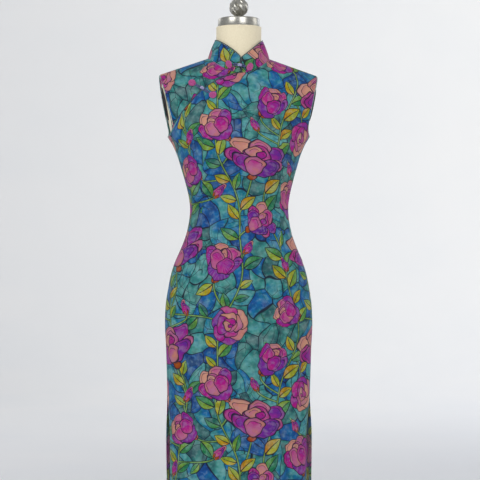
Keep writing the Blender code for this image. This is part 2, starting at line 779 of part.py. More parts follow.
def make_form():
    """The torso, with the neck joined on."""
    heights = [
        *np.linspace(FORM_BOTTOM_Z, 1.175, 17),
        1.191, 1.205, 1.222, 1.245, 1.27, 1.295, 1.315, 1.330, 1.342, 1.353, 1.362, 1.370, 1.3745,
    ]
    torso = loft("form_torso", [form_ring(float(z), 18) for z in heights], "form_linen")
    neck_rings = []
    for z, swell in ((1.330, 1.02), (1.375, 1.02), (1.410, 1.0), (NECK_TOP_Z, 1.0)):
        neck_rings.append(
            [
                (
                    NECK_HALF_WIDTH * swell * math.sin(angle),
                    NECK_Y - NECK_HALF_DEPTH * swell * math.cos(angle),
                    z,
                )
                for angle in np.linspace(0.0, 2 * math.pi, 33)[:-1]
            ]
        )
    neck = loft("neck_shape", neck_rings, "form_linen")
    neck.hide_render = True
    neck.display_type = "WIRE"
    union = torso.modifiers.new("neck", "BOOLEAN")
    union.operation = "UNION"
    union.object = neck


def make_arm_plates():
    """The dark oval plates that close the form's arm ends."""
    for name, sign in (("arm_plate_left", 1), ("arm_plate_right", -1)):
        rings = []
        for out, size in ((0.0, 1.0), (0.6, 1.0), (1.0, 0.93)):
            ring = []
            for angle in np.linspace(0.0, 2 * math.pi, 21)[:-1]:
                rise = ARM_PLATE_HALF_HEIGHT * size * math.sin(angle)
                y = ARM_PLATE_Y + ARM_PLATE_HALF_WIDTH * size * math.cos(angle)
                x = ARM_END_X + ARM_END_SLOPE * rise + CLEAR * 2 + ARM_PLATE_THICKNESS * out
                ring.append((sign * x, y, ARM_END_Z + rise))
            rings.append(ring)
        loft(name, rings, "arm_plate_plastic")


def turned(name, profile, material_name, sides=32):
    """A solid of revolution about the pole's axis, from rows of (radius, z)."""
    rings = [
        [
            (r * math.sin(angle), -r * math.cos(angle), z)
            for angle in np.linspace(0.0, 2 * math.pi, sides + 1)[:-1]
        ]
        for r, z in profile
    ]
    return loft(name, rings, material_name)


def make_cap():
    top = NECK_TOP_Z + CLEAR + CAP_HEIGHT
    profile = (
        (CAP_RADIUS, NECK_TOP_Z + CLEAR),
        (CAP_RADIUS, top - 0.0025),
        (CAP_RADIUS - 0.0012, top - 0.0006),
        (CAP_RADIUS - 0.0035, top),
    )
    cap = turned("neck_cap", profile, "polished_metal", 40)
    cap.location = Vector((0.0, NECK_Y, 0.0))


def make_finial():
    """A swirled bud on a short stem."""
    foot = NECK_TOP_Z + CAP_HEIGHT + 2 * CLEAR
    profile = (
        (0.0080, 0.0000, 0.0),
        (0.0080, 0.0020, 0.0),
        (0.0052, 0.0035, 0.0),
        (0.0110, 0.0060, 0.3),
        (0.0185, 0.0120, 1.0),
        (0.0225, 0.0200, 1.0),
        (0.0230, 0.0285, 1.0),
        (0.0200, 0.0370, 1.0),
        (0.0140, 0.0445, 0.8),
        (0.0070, 0.0500, 0.4),
        (0.0030, 0.0525, 0.0),
    )
    flutes, depth, twist = 8, 0.0016, 1.5
    rings = []
    for r, rise, flute_share in profile:
        ring = []
        for angle in np.linspace(0.0, 2 * math.pi, flutes * 4 + 1)[:-1]:
            turned_by = twist * rise / 0.0525
            out = r + depth * flute_share * math.cos(flutes * angle)
            a = angle + turned_by
            ring.append((out * math.sin(a), NECK_Y - out * math.cos(a), foot + rise))
        rings.append(ring)
    loft("finial", rings, "polished_metal")


def make_stand():
    base = (
        (BASE_RADIUS - 0.002, 0.0),
        (BASE_RADIUS, 0.002),
        (BASE_RADIUS, BASE_THICKNESS - 0.004),
        (BASE_RADIUS - 0.004, BASE_THICKNESS),
        (BASE_HUB_RADIUS + 0.004, BASE_THICKNESS + 0.004),
        (BASE_HUB_RADIUS, BASE_THICKNESS + 0.008),
        (BASE_HUB_RADIUS - 0.002, BASE_HUB_TOP_Z),
    )
    turned("stand_base", base, "polished_metal", 48)
    pole = (
        (POLE_RADIUS, BASE_HUB_TOP_Z + CLEAR),
        (POLE_RADIUS, FORM_BOTTOM_Z - CLEAR),
    )
    turned("stand_pole", pole, "polished_metal", 24)


def main():
    for obj in list(bpy.data.objects):
        bpy.data.objects.remove(obj)
    make_front_panel()
    make_back_panel()
    make_under_flap()
    make_collar()
    make_collar_piping()
    make_opening_piping()
    make_armhole_piping()
    make_frogs()
    make_form()
    make_arm_plates()
    make_cap()
    make_finial()
    make_stand()


main()
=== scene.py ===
# %% [markdown]
# # A printed cheongsam on a dress form
#
# Most cells make cloth: a front panel, a small flap under its slanted opening, a back
# panel and a stand collar. The rest makes the piping, the frogs and the covered form.
#
# All lengths are metres, +Z is up and the dress's front faces -Y.

import math

import bmesh
import bpy
import numpy as np
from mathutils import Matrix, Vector
from mathutils.kdtree import KDTree


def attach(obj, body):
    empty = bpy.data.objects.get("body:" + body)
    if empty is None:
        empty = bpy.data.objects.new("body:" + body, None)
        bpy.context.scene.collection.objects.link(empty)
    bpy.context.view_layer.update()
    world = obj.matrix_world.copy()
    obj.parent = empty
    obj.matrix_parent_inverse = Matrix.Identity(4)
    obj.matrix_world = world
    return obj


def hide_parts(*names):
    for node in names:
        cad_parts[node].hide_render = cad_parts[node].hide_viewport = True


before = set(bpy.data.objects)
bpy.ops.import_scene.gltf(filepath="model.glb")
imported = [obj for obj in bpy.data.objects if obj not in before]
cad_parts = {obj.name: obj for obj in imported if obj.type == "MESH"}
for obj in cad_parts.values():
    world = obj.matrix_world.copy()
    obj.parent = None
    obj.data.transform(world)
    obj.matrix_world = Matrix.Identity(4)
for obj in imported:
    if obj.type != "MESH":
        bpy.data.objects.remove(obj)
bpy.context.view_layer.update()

# %% [markdown]
# ## The cut of the dress
#
# A fitted dress is drawn from measurements taken at many heights. This table holds half
# its width, how far back the side seam lies, and how far the middle of the front and of
# the back stand off it. Panels could be sculpted by eye, but a table gives both of them
# the same side seam.

# %% Measurements of the garment
SECTION_COLUMNS = ("height", "half_width", "side_y", "front_depth", "back_depth")
SECTIONS = (
    (0.25, 0.169, 0.006, 0.097, 0.097), (0.4, 0.1718, 0.006, 0.1, 0.1),
    (0.6, 0.1738, 0.006, 0.105, 0.105), (0.68, 0.176, 0.006, 0.109, 0.109),
    (0.75, 0.1788, 0.007, 0.112, 0.112), (0.8, 0.1755, 0.007, 0.114, 0.113),
    (0.83, 0.1704, 0.007, 0.115, 0.112), (0.86, 0.1645, 0.006, 0.114, 0.109),
    (0.89, 0.155, 0.004, 0.111, 0.105), (0.92, 0.142, 0.001, 0.105, 0.099),
    (0.95, 0.1303, -0.002, 0.097, 0.091), (0.985, 0.1218, -0.004, 0.089, 0.083),
    (1.02, 0.1187, -0.005, 0.084, 0.08), (1.05, 0.1222, -0.004, 0.086, 0.082),
    (1.085, 0.1305, -0.001, 0.093, 0.088), (1.12, 0.1405, 0.002, 0.102, 0.093),
    (1.15, 0.15, 0.005, 0.109, 0.096), (1.175, 0.161, 0.008, 0.111, 0.098),
    (1.191, 0.1706, 0.01, 0.11, 0.098), (1.215, 0.179, 0.011, 0.107, 0.098),
    (1.24, 0.186, 0.012, 0.102, 0.096), (1.27, 0.193, 0.012, 0.096, 0.093),
    (1.3, 0.1985, 0.012, 0.088, 0.088), (1.34, 0.2055, 0.012, 0.07, 0.081),
    (1.385, 0.2055, 0.012, 0.056, 0.066),
)
HEM_Z = 0.25
WAIST_Z = 1.02
SLIT_TOP_Z = 0.586
SLIT_FULL_Z = 0.46
UNDERARM_Z = 1.191
SHOULDER_TIP = (0.19, 1.3435)
SIDE_NECK = (0.075, 1.383)
NECK_Z = {"front": 1.343, "back": 1.385}
ROUNDNESS = {"front": 2.2, "back": 2.3}
SHOULDER_ROLL = {"front": 0.055, "back": 0.05}
SEAM_GAP = 0.0006
SLIT_HALF_OPEN = 0.004
SLIT_SWING = {"front": (-0.002, -0.006), "back": (0.0025, 0.0035)}

# How far round the armhole's edge runs, at levels from the underarm (1) to the tip (2).
ARMHOLE_LEVELS = (1.0, 1.015, 1.05, 1.11, 1.2, 1.33, 1.5, 1.7, 1.86, 2.0)
ARMHOLE = {
    "front": (0, 0.19, 0.34, 0.43, 0.475, 0.49, 0.49, 0.475, 0.45, 0.433),
    "back": (0, 0.18, 0.32, 0.39, 0.42, 0.43, 0.43, 0.43, 0.44, 0.457),
}
# How high the middle of the shoulder tips' row lies, as a share of the armhole's height
TIP_ROW_MIDDLE = {"front": 0.82, "back": 1.07}
# Bust, seat and shoulder blades: x, height, width, rise above, rise below, depth
BULGES = {
    "front": ((0.078, 1.142, 0.056, 0.068, 0.066, 0.02),),
    "back": (
        (0.072, 0.845, 0.058, 0.05, 0.055, 0.008),
        (0.075, 1.27, 0.06, 0.05, 0.06, 0.003),
    ),
}
# Hanging folds: where each starts, its drift, top, half width, depth
FOLDS = {
    "front": (
        (-0.66, -0.05, 0.76, 0.022, 0.005),
        (-0.3, 0.06, 0.64, 0.026, 0.003),
        (0.16, -0.04, 0.7, 0.028, 0.0034),
        (0.6, 0.06, 0.77, 0.02, 0.0055),
    ),
    "back": (
        (-0.58, 0.05, 0.74, 0.026, 0.005),
        (-0.14, -0.05, 0.69, 0.03, 0.004),
        (0.28, 0.04, 0.73, 0.028, 0.0045),
        (0.68, -0.03, 0.76, 0.022, 0.005),
    ),
}
print(len(SECTIONS), "measured heights,", len(FOLDS["front"]), "hanging folds in front")

# %% [markdown]
# ## The garment's surface
#
# Each panel is a patch of one closed surface. A point of it is found from `c`, its place
# across a row from -1 at the wearer's right to +1 at the left, and from a level: 0 at
# the hem, 1 at the underarm, 2 at the shoulder tip, 3 at the neck.
# Rows bend up at the armholes, so every edge is clean, as a boolean cut wouldn't be.

# %% Curves through the tables


def smooth(heights, values, at):
    """A smooth curve through a table's values."""
    heights, values = np.asarray(heights, float), np.asarray(values, float)
    slopes = np.gradient(values, heights)
    at = np.clip(at, heights[0], heights[-1])
    i = np.clip(np.searchsorted(heights, at, side="right") - 1, 0, len(heights) - 2)
    step = heights[i + 1] - heights[i]
    t = (at - heights[i]) / step
    low = values[i] * (1 + 2 * t) * (1 - t) ** 2 + slopes[i] * step * t * (1 - t) ** 2
    high = values[i + 1] * t * t * (3 - 2 * t) + slopes[i + 1] * step * t * t * (t - 1)
    return low + high


measured = dict(zip(SECTION_COLUMNS, np.transpose(SECTIONS)))


def section(name, z):
    return smooth(measured["height"], measured[name], z)


def ease(t):
    t = np.clip(t, 0.0, 1.0)
    return t * t * (3 - 2 * t)


def slit_share(z):
    return ease((SLIT_TOP_Z - z) / (SLIT_TOP_Z - SLIT_FULL_Z))


def half_width(z, face, sign):
    moved = np.where(sign < 0, SLIT_SWING[face][0], SLIT_SWING[face][1])
    return section("half_width", z) + moved * slit_share(z)


waist = 2 * float(section("half_width", WAIST_Z))
print("the waist is", round(waist * 1000), "mm wide")

# %% [markdown]
# ### How far the cloth stands out
#
# Across a row the surface is an oval, a little squarer than an ellipse. It rolls over at
# the shoulders, swells at the bust, and dips where the skirt hangs in folds.

# %% Depth of the cloth
SHOULDER_SLOPE = (SIDE_NECK[1] - SHOULDER_TIP[1]) / (SHOULDER_TIP[0] - SIDE_NECK[0])


def ridge_z(x):
    return SIDE_NECK[1] - SHOULDER_SLOPE * (np.abs(x) - SIDE_NECK[0])


def bulges(face, x, z):
    total = np.zeros(np.broadcast(x, z).shape)
    for at, height, width, up, down, depth in BULGES[face]:
        rise = np.where(z > height, up, down)
        spread = ((np.abs(x) - at) / width) ** 2 + ((z - height) / rise) ** 2
        total = total + depth * np.exp(-spread)
    return total


def folds(face, x, z):
    total = np.zeros(np.broadcast(x, z).shape)
    wide = section("half_width", z)
    for c, drift, top, half, depth in FOLDS[face]:
        fallen = np.clip((top - z) / (top - HEM_Z), 0.0, 1.0)
        across = (x - (c + drift * fallen) * wide) / half
        total = total + depth * ease(fallen * 2.2) * np.exp(-(across**2))
    return total


def depth_of(face, x, z, inset=0.0, wide=None, ridge_drop=0.0):
    """How far the surface stands off the side seam."""
    n, roll = ROUNDNESS[face], SHOULDER_ROLL[face]
    reach = half_width(z, face, np.sign(x)) if wide is None else wide
    share = np.clip(np.abs(x) / reach, 0.0, 1.0)
    round_share = (1 - share**n) ** (1 / n)
    under = np.clip((ridge_z(x) - ridge_drop - z) / roll, 0.0, 1.0)
    rolled = np.sqrt(2 * under - under * under)
    full = section(face + "_depth", z) - inset
    return (full + bulges(face, x, z)) * round_share * rolled - folds(face, x, z) * round_share


def surface_y(face, x, z):
    apart = SEAM_GAP / 2 + SLIT_HALF_OPEN * slit_share(z) + depth_of(face, x, z)
    return section("side_y", z) + (-apart if face == "front" else apart)


bust_y = float(surface_y("front", *np.array(BULGES["front"][0][:2])))
print("the bust stands", round(-bust_y * 1000), "mm in front of the pole")

# %% [markdown]
# ### Rows and their ends
#
# Up to the underarm a row is level. Above it the ends climb faster than the middle, and
# the last row is the neckline.

# %% Points of the garment


def armhole_x(face, z, sign):
    rise = np.clip((z - UNDERARM_Z) / (SHOULDER_TIP[1] - UNDERARM_Z), 0.0, 1.0)
    share = smooth(ARMHOLE_LEVELS, ARMHOLE[face], 1.0 + rise)
    return half_width(z, face, sign) * (1 - share ** ROUNDNESS[face]) ** (1 / ROUNDNESS[face])


def edge_of_row(face, level, sign):
    """x and z of a row's end, and z of its middle."""
    tall = SHOULDER_TIP[1] - UNDERARM_Z
    tip_middle = UNDERARM_Z + tall * TIP_ROW_MIDDLE[face]
    z_skirt = HEM_Z + (UNDERARM_Z - HEM_Z) * np.minimum(level, 1.0)
    rise = np.clip(level - 1.0, 0.0, 1.0)
    z_arm = UNDERARM_Z + tall * rise
    z_arm_middle = UNDERARM_Z + (tip_middle - UNDERARM_Z) * rise
    inward = np.clip(level - 2.0, 0.0, 1.0)
    x_shoulder = SHOULDER_TIP[0] + (SIDE_NECK[0] - SHOULDER_TIP[0]) * inward
    x = np.where(level < 1, half_width(z_skirt, face, sign), armhole_x(face, z_arm, sign))
    x = np.where(level > 2, x_shoulder, x)
    z = np.where(level < 1, z_skirt, np.where(level > 2, ridge_z(x_shoulder), z_arm))
    z_neck_part = tip_middle + (NECK_Z[face] - tip_middle) * inward
    middle = np.where(level < 1, z_skirt, np.where(level > 2, z_neck_part, z_arm_middle))
    return x, z, middle


def garment_point(face, c, level):
    c, level = np.broadcast_arrays(c, level)
    x_edge, z_edge, z_middle = edge_of_row(face, level, np.sign(c))
    x = x_edge * c
    z = z_middle + (z_edge - z_middle) * c * c
    return np.stack([x, surface_y(face, x, z), z], axis=-1)


def unit(vectors):
    return vectors / np.linalg.norm(vectors, axis=-1, keepdims=True)


def outward(grid, face):
    """Unit normals of a grid whose rows go up and whose columns go to +X."""
    normal = unit(np.cross(np.gradient(grid, axis=1), np.gradient(grid, axis=0)))
    return normal if face == "front" else -normal


print("a shoulder tip is at", garment_point("front", 1.0, 2.0).round(3))

# %% [markdown]
# ## The slanted opening
#
# The front closes over to the wearer's right. Its edge falls gently from the pit of the
# neck and then swings down to the armhole. The panel's rows on that side end at this
# curve, because a bisected edge would be too rough to bind.

# %% The opening's curve
OPENING_END_Z = 1.213
OPENING_STRAIGHT_SHARE = 0.22
OPENING_BEND = 2.3
FLAP_UNDERLAP = 0.045
FLAP_PAST_CENTRE = 0.12
FLAP_SINK = 0.0025
FLAP_RISE_LEVELS = 0.55
HALVINGS = 26


def opening_z(x):
    share = np.abs(x) / armhole_x("front", OPENING_END_Z, -1)
    fall = OPENING_STRAIGHT_SHARE * share + (1 - OPENING_STRAIGHT_SHARE) * share**OPENING_BEND
    return NECK_Z["front"] - (NECK_Z["front"] - OPENING_END_Z) * fall


def front_panel_point(c, level):
    """The front's rows end at the opening at the wearer's right."""
    c, level = np.broadcast_arrays(c, level)
    rise = (edge_of_row("front", level, -1)[2] - UNDERARM_Z) / (NECK_Z["front"] - UNDERARM_Z)
    x = c * armhole_x("front", UNDERARM_Z + (OPENING_END_Z - UNDERARM_Z) * rise, -1)
    top = opening_z(c * armhole_x("front", OPENING_END_Z, -1))
    z = UNDERARM_Z + (top - UNDERARM_Z) * rise
    under_opening = np.stack([x, surface_y("front", x, z), z], axis=-1)
    cut_away = (c < 0) & (level > 1)
    return np.where(cut_away[..., None], under_opening, garment_point("front", c, level))


def level_below_opening(c, drop):
    """The level that lies a distance below the line of the opening."""
    low, high = np.ones(c.shape), np.full(c.shape, 3.0)
    for _ in range(HALVINGS):
        middle = (low + high) / 2
        spot = garment_point("front", c, middle)
        above = spot[..., 2] > opening_z(spot[..., 0]) - drop
        low, high = np.where(above, low, middle), np.where(above, middle, high)
    return high


print("the opening falls", round((NECK_Z["front"] - OPENING_END_Z) * 1000), "mm")

# %% [markdown]
# ## Creases
#
# Cloth that fits closely still pulls: short lines run in from the side seams at the
# waist and hips, a few point at the armholes, and the skirt has long soft ones.
# Each is a shallow trough with a low ridge beside it. Noise would wrinkle every place
# alike, so they are placed one by one, each with its own length, depth and slant.

# %% The table of creases
# x and z of one end, x and z of the other end, bow, half width, depth
FRONT_CREASES = (
    (-0.125, 1.052, -0.062, 1.041, 0.004, 0.0065, 0.0021),
    (-0.121, 1.013, -0.048, 1.022, -0.003, 0.0075, 0.0026),
    (-0.122, 0.978, -0.086, 0.99, 0.002, 0.006, 0.0016),
    (0.121, 1.037, 0.055, 1.02, 0.004, 0.007, 0.0024),
    (0.122, 0.996, 0.071, 1.004, -0.003, 0.0065, 0.0019),
    (0.128, 0.958, 0.094, 0.974, 0.002, 0.006, 0.0014),
    (-0.031, 1.006, 0.018, 1.012, 0.002, 0.009, 0.001),
    (-0.16, 0.872, -0.094, 0.918, 0.006, 0.01, 0.003),
    (-0.172, 0.822, -0.12, 0.852, 0.004, 0.009, 0.0022),
    (0.157, 0.885, 0.101, 0.921, -0.005, 0.0095, 0.0026),
    (0.174, 0.806, 0.132, 0.826, -0.003, 0.0085, 0.0018),
    (-0.058, 0.862, 0.034, 0.853, 0.004, 0.013, 0.0016),
    (0.139, 1.338, 0.112, 1.288, 0.005, 0.0075, 0.0024),
    (0.121, 1.352, 0.104, 1.318, 0.003, 0.006, 0.0016),
    (0.163, 1.214, 0.121, 1.186, -0.004, 0.008, 0.0021),
    (-0.158, 1.196, -0.124, 1.176, 0.003, 0.0075, 0.0018),
    (-0.142, 0.745, -0.118, 0.505, 0.009, 0.015, 0.0046),
    (-0.066, 0.57, -0.08, 0.29, -0.006, 0.017, 0.0039),
    (0.038, 0.655, 0.055, 0.33, 0.007, 0.019, 0.0036),
    (0.147, 0.7, 0.134, 0.42, -0.006, 0.014, 0.0043),
    (0.112, 0.42, 0.104, 0.262, 0.003, 0.013, 0.0035),
    (-0.008, 0.43, -0.016, 0.258, 0.004, 0.015, 0.0028),
)
BACK_CREASES = (
    (-0.112, 1.058, -0.03, 1.046, 0.005, 0.008, 0.0027),
    (-0.1, 1.02, -0.012, 1.026, -0.004, 0.0085, 0.0032),
    (-0.108, 0.982, -0.058, 0.99, 0.003, 0.007, 0.0019),
    (0.114, 1.044, 0.026, 1.034, 0.004, 0.0085, 0.0029),
    (0.112, 1.002, 0.044, 1.01, -0.004, 0.0075, 0.0024),
    (0.118, 0.966, 0.08, 0.976, 0.002, 0.006, 0.0016),
    (-0.152, 0.88, -0.09, 0.925, 0.006, 0.0095, 0.0026),
    (0.156, 0.87, 0.098, 0.914, -0.005, 0.01, 0.0029),
    (-0.04, 0.752, 0.052, 0.744, 0.006, 0.013, 0.0022),
    (-0.15, 1.226, -0.108, 1.196, 0.004, 0.008, 0.0022),
    (0.156, 1.236, 0.117, 1.205, -0.004, 0.0085, 0.0021),
    (0.128, 1.335, 0.102, 1.29, 0.004, 0.007, 0.0019),
    (-0.112, 0.69, -0.1, 0.38, 0.008, 0.016, 0.0046),
    (-0.02, 0.64, -0.034, 0.29, -0.007, 0.018, 0.0039),
    (0.09, 0.6, 0.104, 0.3, 0.006, 0.017, 0.0043),
    (0.152, 0.69, 0.146, 0.47, -0.004, 0.013, 0.0036),
)


def crease_depth(face, x, z):
    """How far the creases push the cloth in."""
    total = np.zeros(x.shape)
    for x1, z1, x2, z2, bow, half, depth in FRONT_CREASES if face == "front" else BACK_CREASES:
        long = math.hypot(x2 - x1, z2 - z1)
        ax, az = (x2 - x1) / long, (z2 - z1) / long
        along = ((x - x1) * ax + (z - z1) * az) / long
        off = (x - x1) * az - (z - z1) * ax
        # it widens along its way and dies away slowly
        wave = (off - bow * 4 * along * (1 - along)) / (half * (0.75 + 0.5 * along))
        fade = ease((along + 0.16) / 0.32) * ease((1.14 - along) / 0.55)
        # a trough whose far side rises into a ridge
        total += depth * fade * (1 - 0.9 * wave * (1 + 0.35 * wave)) * np.exp(-(wave**2))
    return total


print(len(FRONT_CREASES), "creases in front and", len(BACK_CREASES), "at the back")

# %% [markdown]
# ## Fine grids for the panels
#
# Cells are about 4 mm. One column of each half follows the waist dart, a fold sewn shut
# that takes cloth out at the waist, so the seam can be sharp and the print can break
# there without a finer grid all over.

# %% Grids and dart columns
DART_X = 0.094  # distance of a waist dart from the centre
DART_TOP_Z = {"front": 1.166, "back": 1.15}
DART_LOW_Z = {"front": 0.848, "back": 0.862}
DART_TAKES = {"front": 0.022, "back": 0.026}  # cloth folded away at the waist
DART_COLUMN_SHARE = 0.46  # of the columns from the centre to the side
HALF_COLUMNS = 58
SKIRT_ROWS, ARMHOLE_ROWS, SHOULDER_ROWS = 248, 42, 30
COLUMN_SPREAD = 2 / ROUNDNESS["front"]  # a power that spaces columns evenly round the body


def row_levels():
    skirt = np.linspace(0.0, 1.0, SKIRT_ROWS)
    arm = 1.0 + np.linspace(0.0, 1.0, ARMHOLE_ROWS)[1:] ** 1.35
    shoulder = np.linspace(2.0, 3.0, SHOULDER_ROWS)[1:]
    return np.concatenate([skirt, arm, shoulder])


def half_columns(count, levels):
    """c of one half's columns at each level, bent so that one keeps to the dart."""
    z = HEM_Z + (UNDERARM_Z - HEM_Z) * np.minimum(levels, 1.0)
    dart_c = DART_X / section("half_width", z)
    dart = (2 / math.pi) * np.arcsin(dart_c ** (1 / COLUMN_SPREAD))
    s = np.linspace(0.0, 1.0, count + 1)
    knot = round(DART_COLUMN_SHARE * count) / count
    inner = s[None, :] / knot * dart[:, None]
    outer = dart[:, None] + (s[None, :] - knot) / (1 - knot) * (1 - dart[:, None])
    turn = np.where(s[None, :] <= knot, inner, outer) * math.pi / 2
    return np.sin(turn) ** COLUMN_SPREAD


def panel_columns(levels):
    half = half_columns(HALF_COLUMNS, levels)
    return np.concatenate([-half[:, :0:-1], half], axis=1)


def dart_share(face, z):
    """0 at both ends of a waist dart, 1 at the waist."""
    up = ease((DART_TOP_Z[face] - z) / (DART_TOP_Z[face] - WAIST_Z))
    down = ease((z - DART_LOW_Z[face]) / (WAIST_Z - DART_LOW_Z[face]))
    return np.minimum(up, down)


dart_knot = round(DART_COLUMN_SHARE * HALF_COLUMNS)
DART_COLUMNS = (HALF_COLUMNS - dart_knot, HALF_COLUMNS + dart_knot)
levels = row_levels()
print(len(levels), "rows and", 2 * HALF_COLUMNS + 1, "columns, darts at", DART_COLUMNS)

# %% [markdown]
# ## The print's chart
#
# The cloth is printed with roses, buds, leaves and stems among coloured glass panes.
# This chart is one repeat, 40 by 62, in centimetres. Three vines climb through it and
# every flower's stem bends to the nearest one. Noise could scatter flowers, but their
# stems would meet no vine.

# %% One repeat of the print
REPEAT = np.array((0.4, 0.62))
OPEN, CUP, LOOSE, BUD = 0.0, 1.0, 2.0, 3.0
# across, up, radius, turn in degrees, kind, a shift from peach towards violet, breadth
FLOWERS = (
    (6.8, 7.6, 4.8, -22, CUP, 0.05, 0.98), (32.8, 10.6, 6.9, 14, LOOSE, 0.0, 1.2),
    (16.2, 17.2, 4.3, -58, LOOSE, 0.06, 1.0), (26.6, 23.0, 5.1, 26, CUP, -0.03, 0.95),
    (37.0, 29.6, 4.2, 62, CUP, 0.0, 1.0), (15.0, 32.4, 6.4, -12, LOOSE, 0.02, 1.18),
    (28.0, 37.6, 4.3, 190, OPEN, -0.06, 0.96), (5.6, 40.6, 4.6, 38, CUP, -0.04, 1.0),
    (18.8, 46.6, 4.2, -36, CUP, 0.07, 0.94), (33.0, 49.4, 6.4, 24, LOOSE, -0.04, 1.14),
    (8.6, 54.6, 4.5, 250, OPEN, 0.03, 1.02), (22.8, 57.4, 3.9, 74, CUP, 0.0, 1.0),
    (13.2, 11.0, 2.1, -34, BUD, 0.0, 0.95), (22.4, 7.0, 2.2, 28, BUD, 0.02, 0.95),
    (6.4, 24.6, 2.3, -42, BUD, -0.04, 0.95), (34.4, 20.4, 2.3, -20, BUD, 0.05, 0.95),
    (25.2, 30.4, 2.1, 32, BUD, -0.04, 0.95), (38.6, 38.2, 2.2, -28, BUD, 0.04, 0.95),
    (14.6, 40.6, 2.0, 24, BUD, 0.0, 0.95), (37.6, 58.8, 2.2, 18, BUD, 0.03, 0.95),
)
# across, sway and phase of each climbing vine
VINES = ((8.5, 3.4, 0.4), (21.5, 3.9, 2.3), (34.5, 3.1, 4.4))
VINE_POINTS = 320
flower_rows = np.array(FLOWERS)
flower_rows[:, :3] /= 100  # from centimetres to metres


def vine_points(across, sway, phase):
    """A vine that meets itself again at the next repeat."""
    t = np.arange(VINE_POINTS) / VINE_POINTS
    u = (across + sway * np.sin(2 * math.pi * t + phase)) / 100
    u = u + sway / 500 * np.sin(6 * math.pi * t + 2 * phase)
    return np.stack([u, t * REPEAT[1]], axis=1)


def wrapped(points):
    """The points and their copies in the neighbouring repeats."""
    shifts = [(i, j) for i in (-1, 0, 1) for j in (-1, 0, 1)]
    return np.concatenate([points + np.array(s) * REPEAT for s in shifts])


def repeated(rows):
    """Places, and whole rows, of motifs in the repeat and in its neighbours."""
    return wrapped(rows[:, :2]), np.tile(rows, (9, 1))


def flower_stem(flower, vines):
    """A bend from a flower's foot to the nearest vine."""
    radius, turn = flower[2], math.radians(flower[3])
    down = np.array((math.sin(turn), -math.cos(turn)))
    foot = flower[:2] + down * radius * 0.9
    bend = foot + down * radius * 0.7
    reach = foot + down * radius * 1.2
    near = vines[np.argmin(np.sum((vines - reach) ** 2, axis=1))]
    t = np.linspace(0.0, 1.0, 60)[:, None]
    return foot * (1 - t) ** 2 + bend * 2 * t * (1 - t) + near * t * t


vines = [vine_points(*row) for row in VINES]
all_vines = wrapped(np.concatenate(vines))
stems = [flower_stem(flower, all_vines) for flower in flower_rows]
print(len(FLOWERS), "flowers,", len(vines), "vines,", len(stems), "stems")

# %% [markdown]
# ### Leaves along the vines and stems
#
# Leaves sit on alternate sides of every vine and stem, with a slant, length and breadth
# drawn by lot. A leaf that would run into a flower or another leaf is left out.

# %% Leaves
LEAF_EVERY = 0.0235
luck = np.random.RandomState(11)
flower_spots, flower_copies = repeated(flower_rows)


def distances(path):
    """How far along a path each of its points lies."""
    steps = np.linalg.norm(np.diff(path, axis=0), axis=1)
    return np.concatenate([[0.0], np.cumsum(steps)])


def turned_back(x, y, turn):
    """x and y measured along and across a direction."""
    cosine, sine = np.cos(turn), np.sin(turn)
    return x * cosine + y * sine, y * cosine - x * sine


def leaf_beside(path, at, side):
    """u, v, turn, half length, half width and tone of a leaf."""
    ahead = path[min(at + 2, len(path) - 1)] - path[max(at - 2, 0)]
    turn = math.atan2(ahead[1], ahead[0]) + side * math.radians(luck.uniform(34, 62))
    long = luck.uniform(0.0185, 0.0285)
    out = np.array((math.cos(turn), math.sin(turn))) * (long + 0.0025)
    u, v = path[at] + out
    return (u, v, turn, long, long * luck.uniform(0.46, 0.6), luck.uniform(0.0, 1.0))


# places on a leaf that must stay clear, in half lengths and half widths
FEELERS = np.array(
    [(along, 0.0) for along in (-1.0, -0.5, 0.0, 0.5, 1.0)]
    + [(0.0, -1.0), (0.0, 1.0), (0.5, 0.6), (-0.5, 0.6), (0.5, -0.6), (-0.5, -0.6)]
)


def runs_into(leaf, others):
    """Whether a leaf overlaps one that is there already."""
    if not others:
        return False
    x, y = turned_back(FEELERS[:, 0] * leaf[3], FEELERS[:, 1] * leaf[4], -leaf[2])
    spots, rows = repeated(np.array(others))
    x = (leaf[0] + x)[:, None] - spots[:, 0]
    y = (leaf[1] + y)[:, None] - spots[:, 1]
    along, across = turned_back(x, y, rows[:, 2])
    return bool(((along / rows[:, 3]) ** 2 + (across / rows[:, 4]) ** 2 < 1.1).any())


leaves = []
for path in vines + stems:
    far = distances(path)
    for i in range(int(far[-1] / LEAF_EVERY)):
        at = int(np.searchsorted(far, (i + 0.5) * LEAF_EVERY))
        leaf = leaf_beside(path, min(at, len(path) - 2), 1 if i % 2 else -1)
        spot = np.array(leaf[:2])
        hidden = np.linalg.norm(flower_spots - spot, axis=1) < flower_copies[:, 2] * 0.98
        if not hidden.any() and not runs_into(leaf, leaves):
            leaves.append(leaf)
print(len(leaves), "leaves in one repeat")

# %% [markdown]
# ## Carrying the print on the cloth
#
# A printer works on flat cloth, so the panels get flat coordinates too, measured over
# the curved surface. At a dart they jump by the cloth folded away, which breaks the
# print there.

# %% Flat coordinates


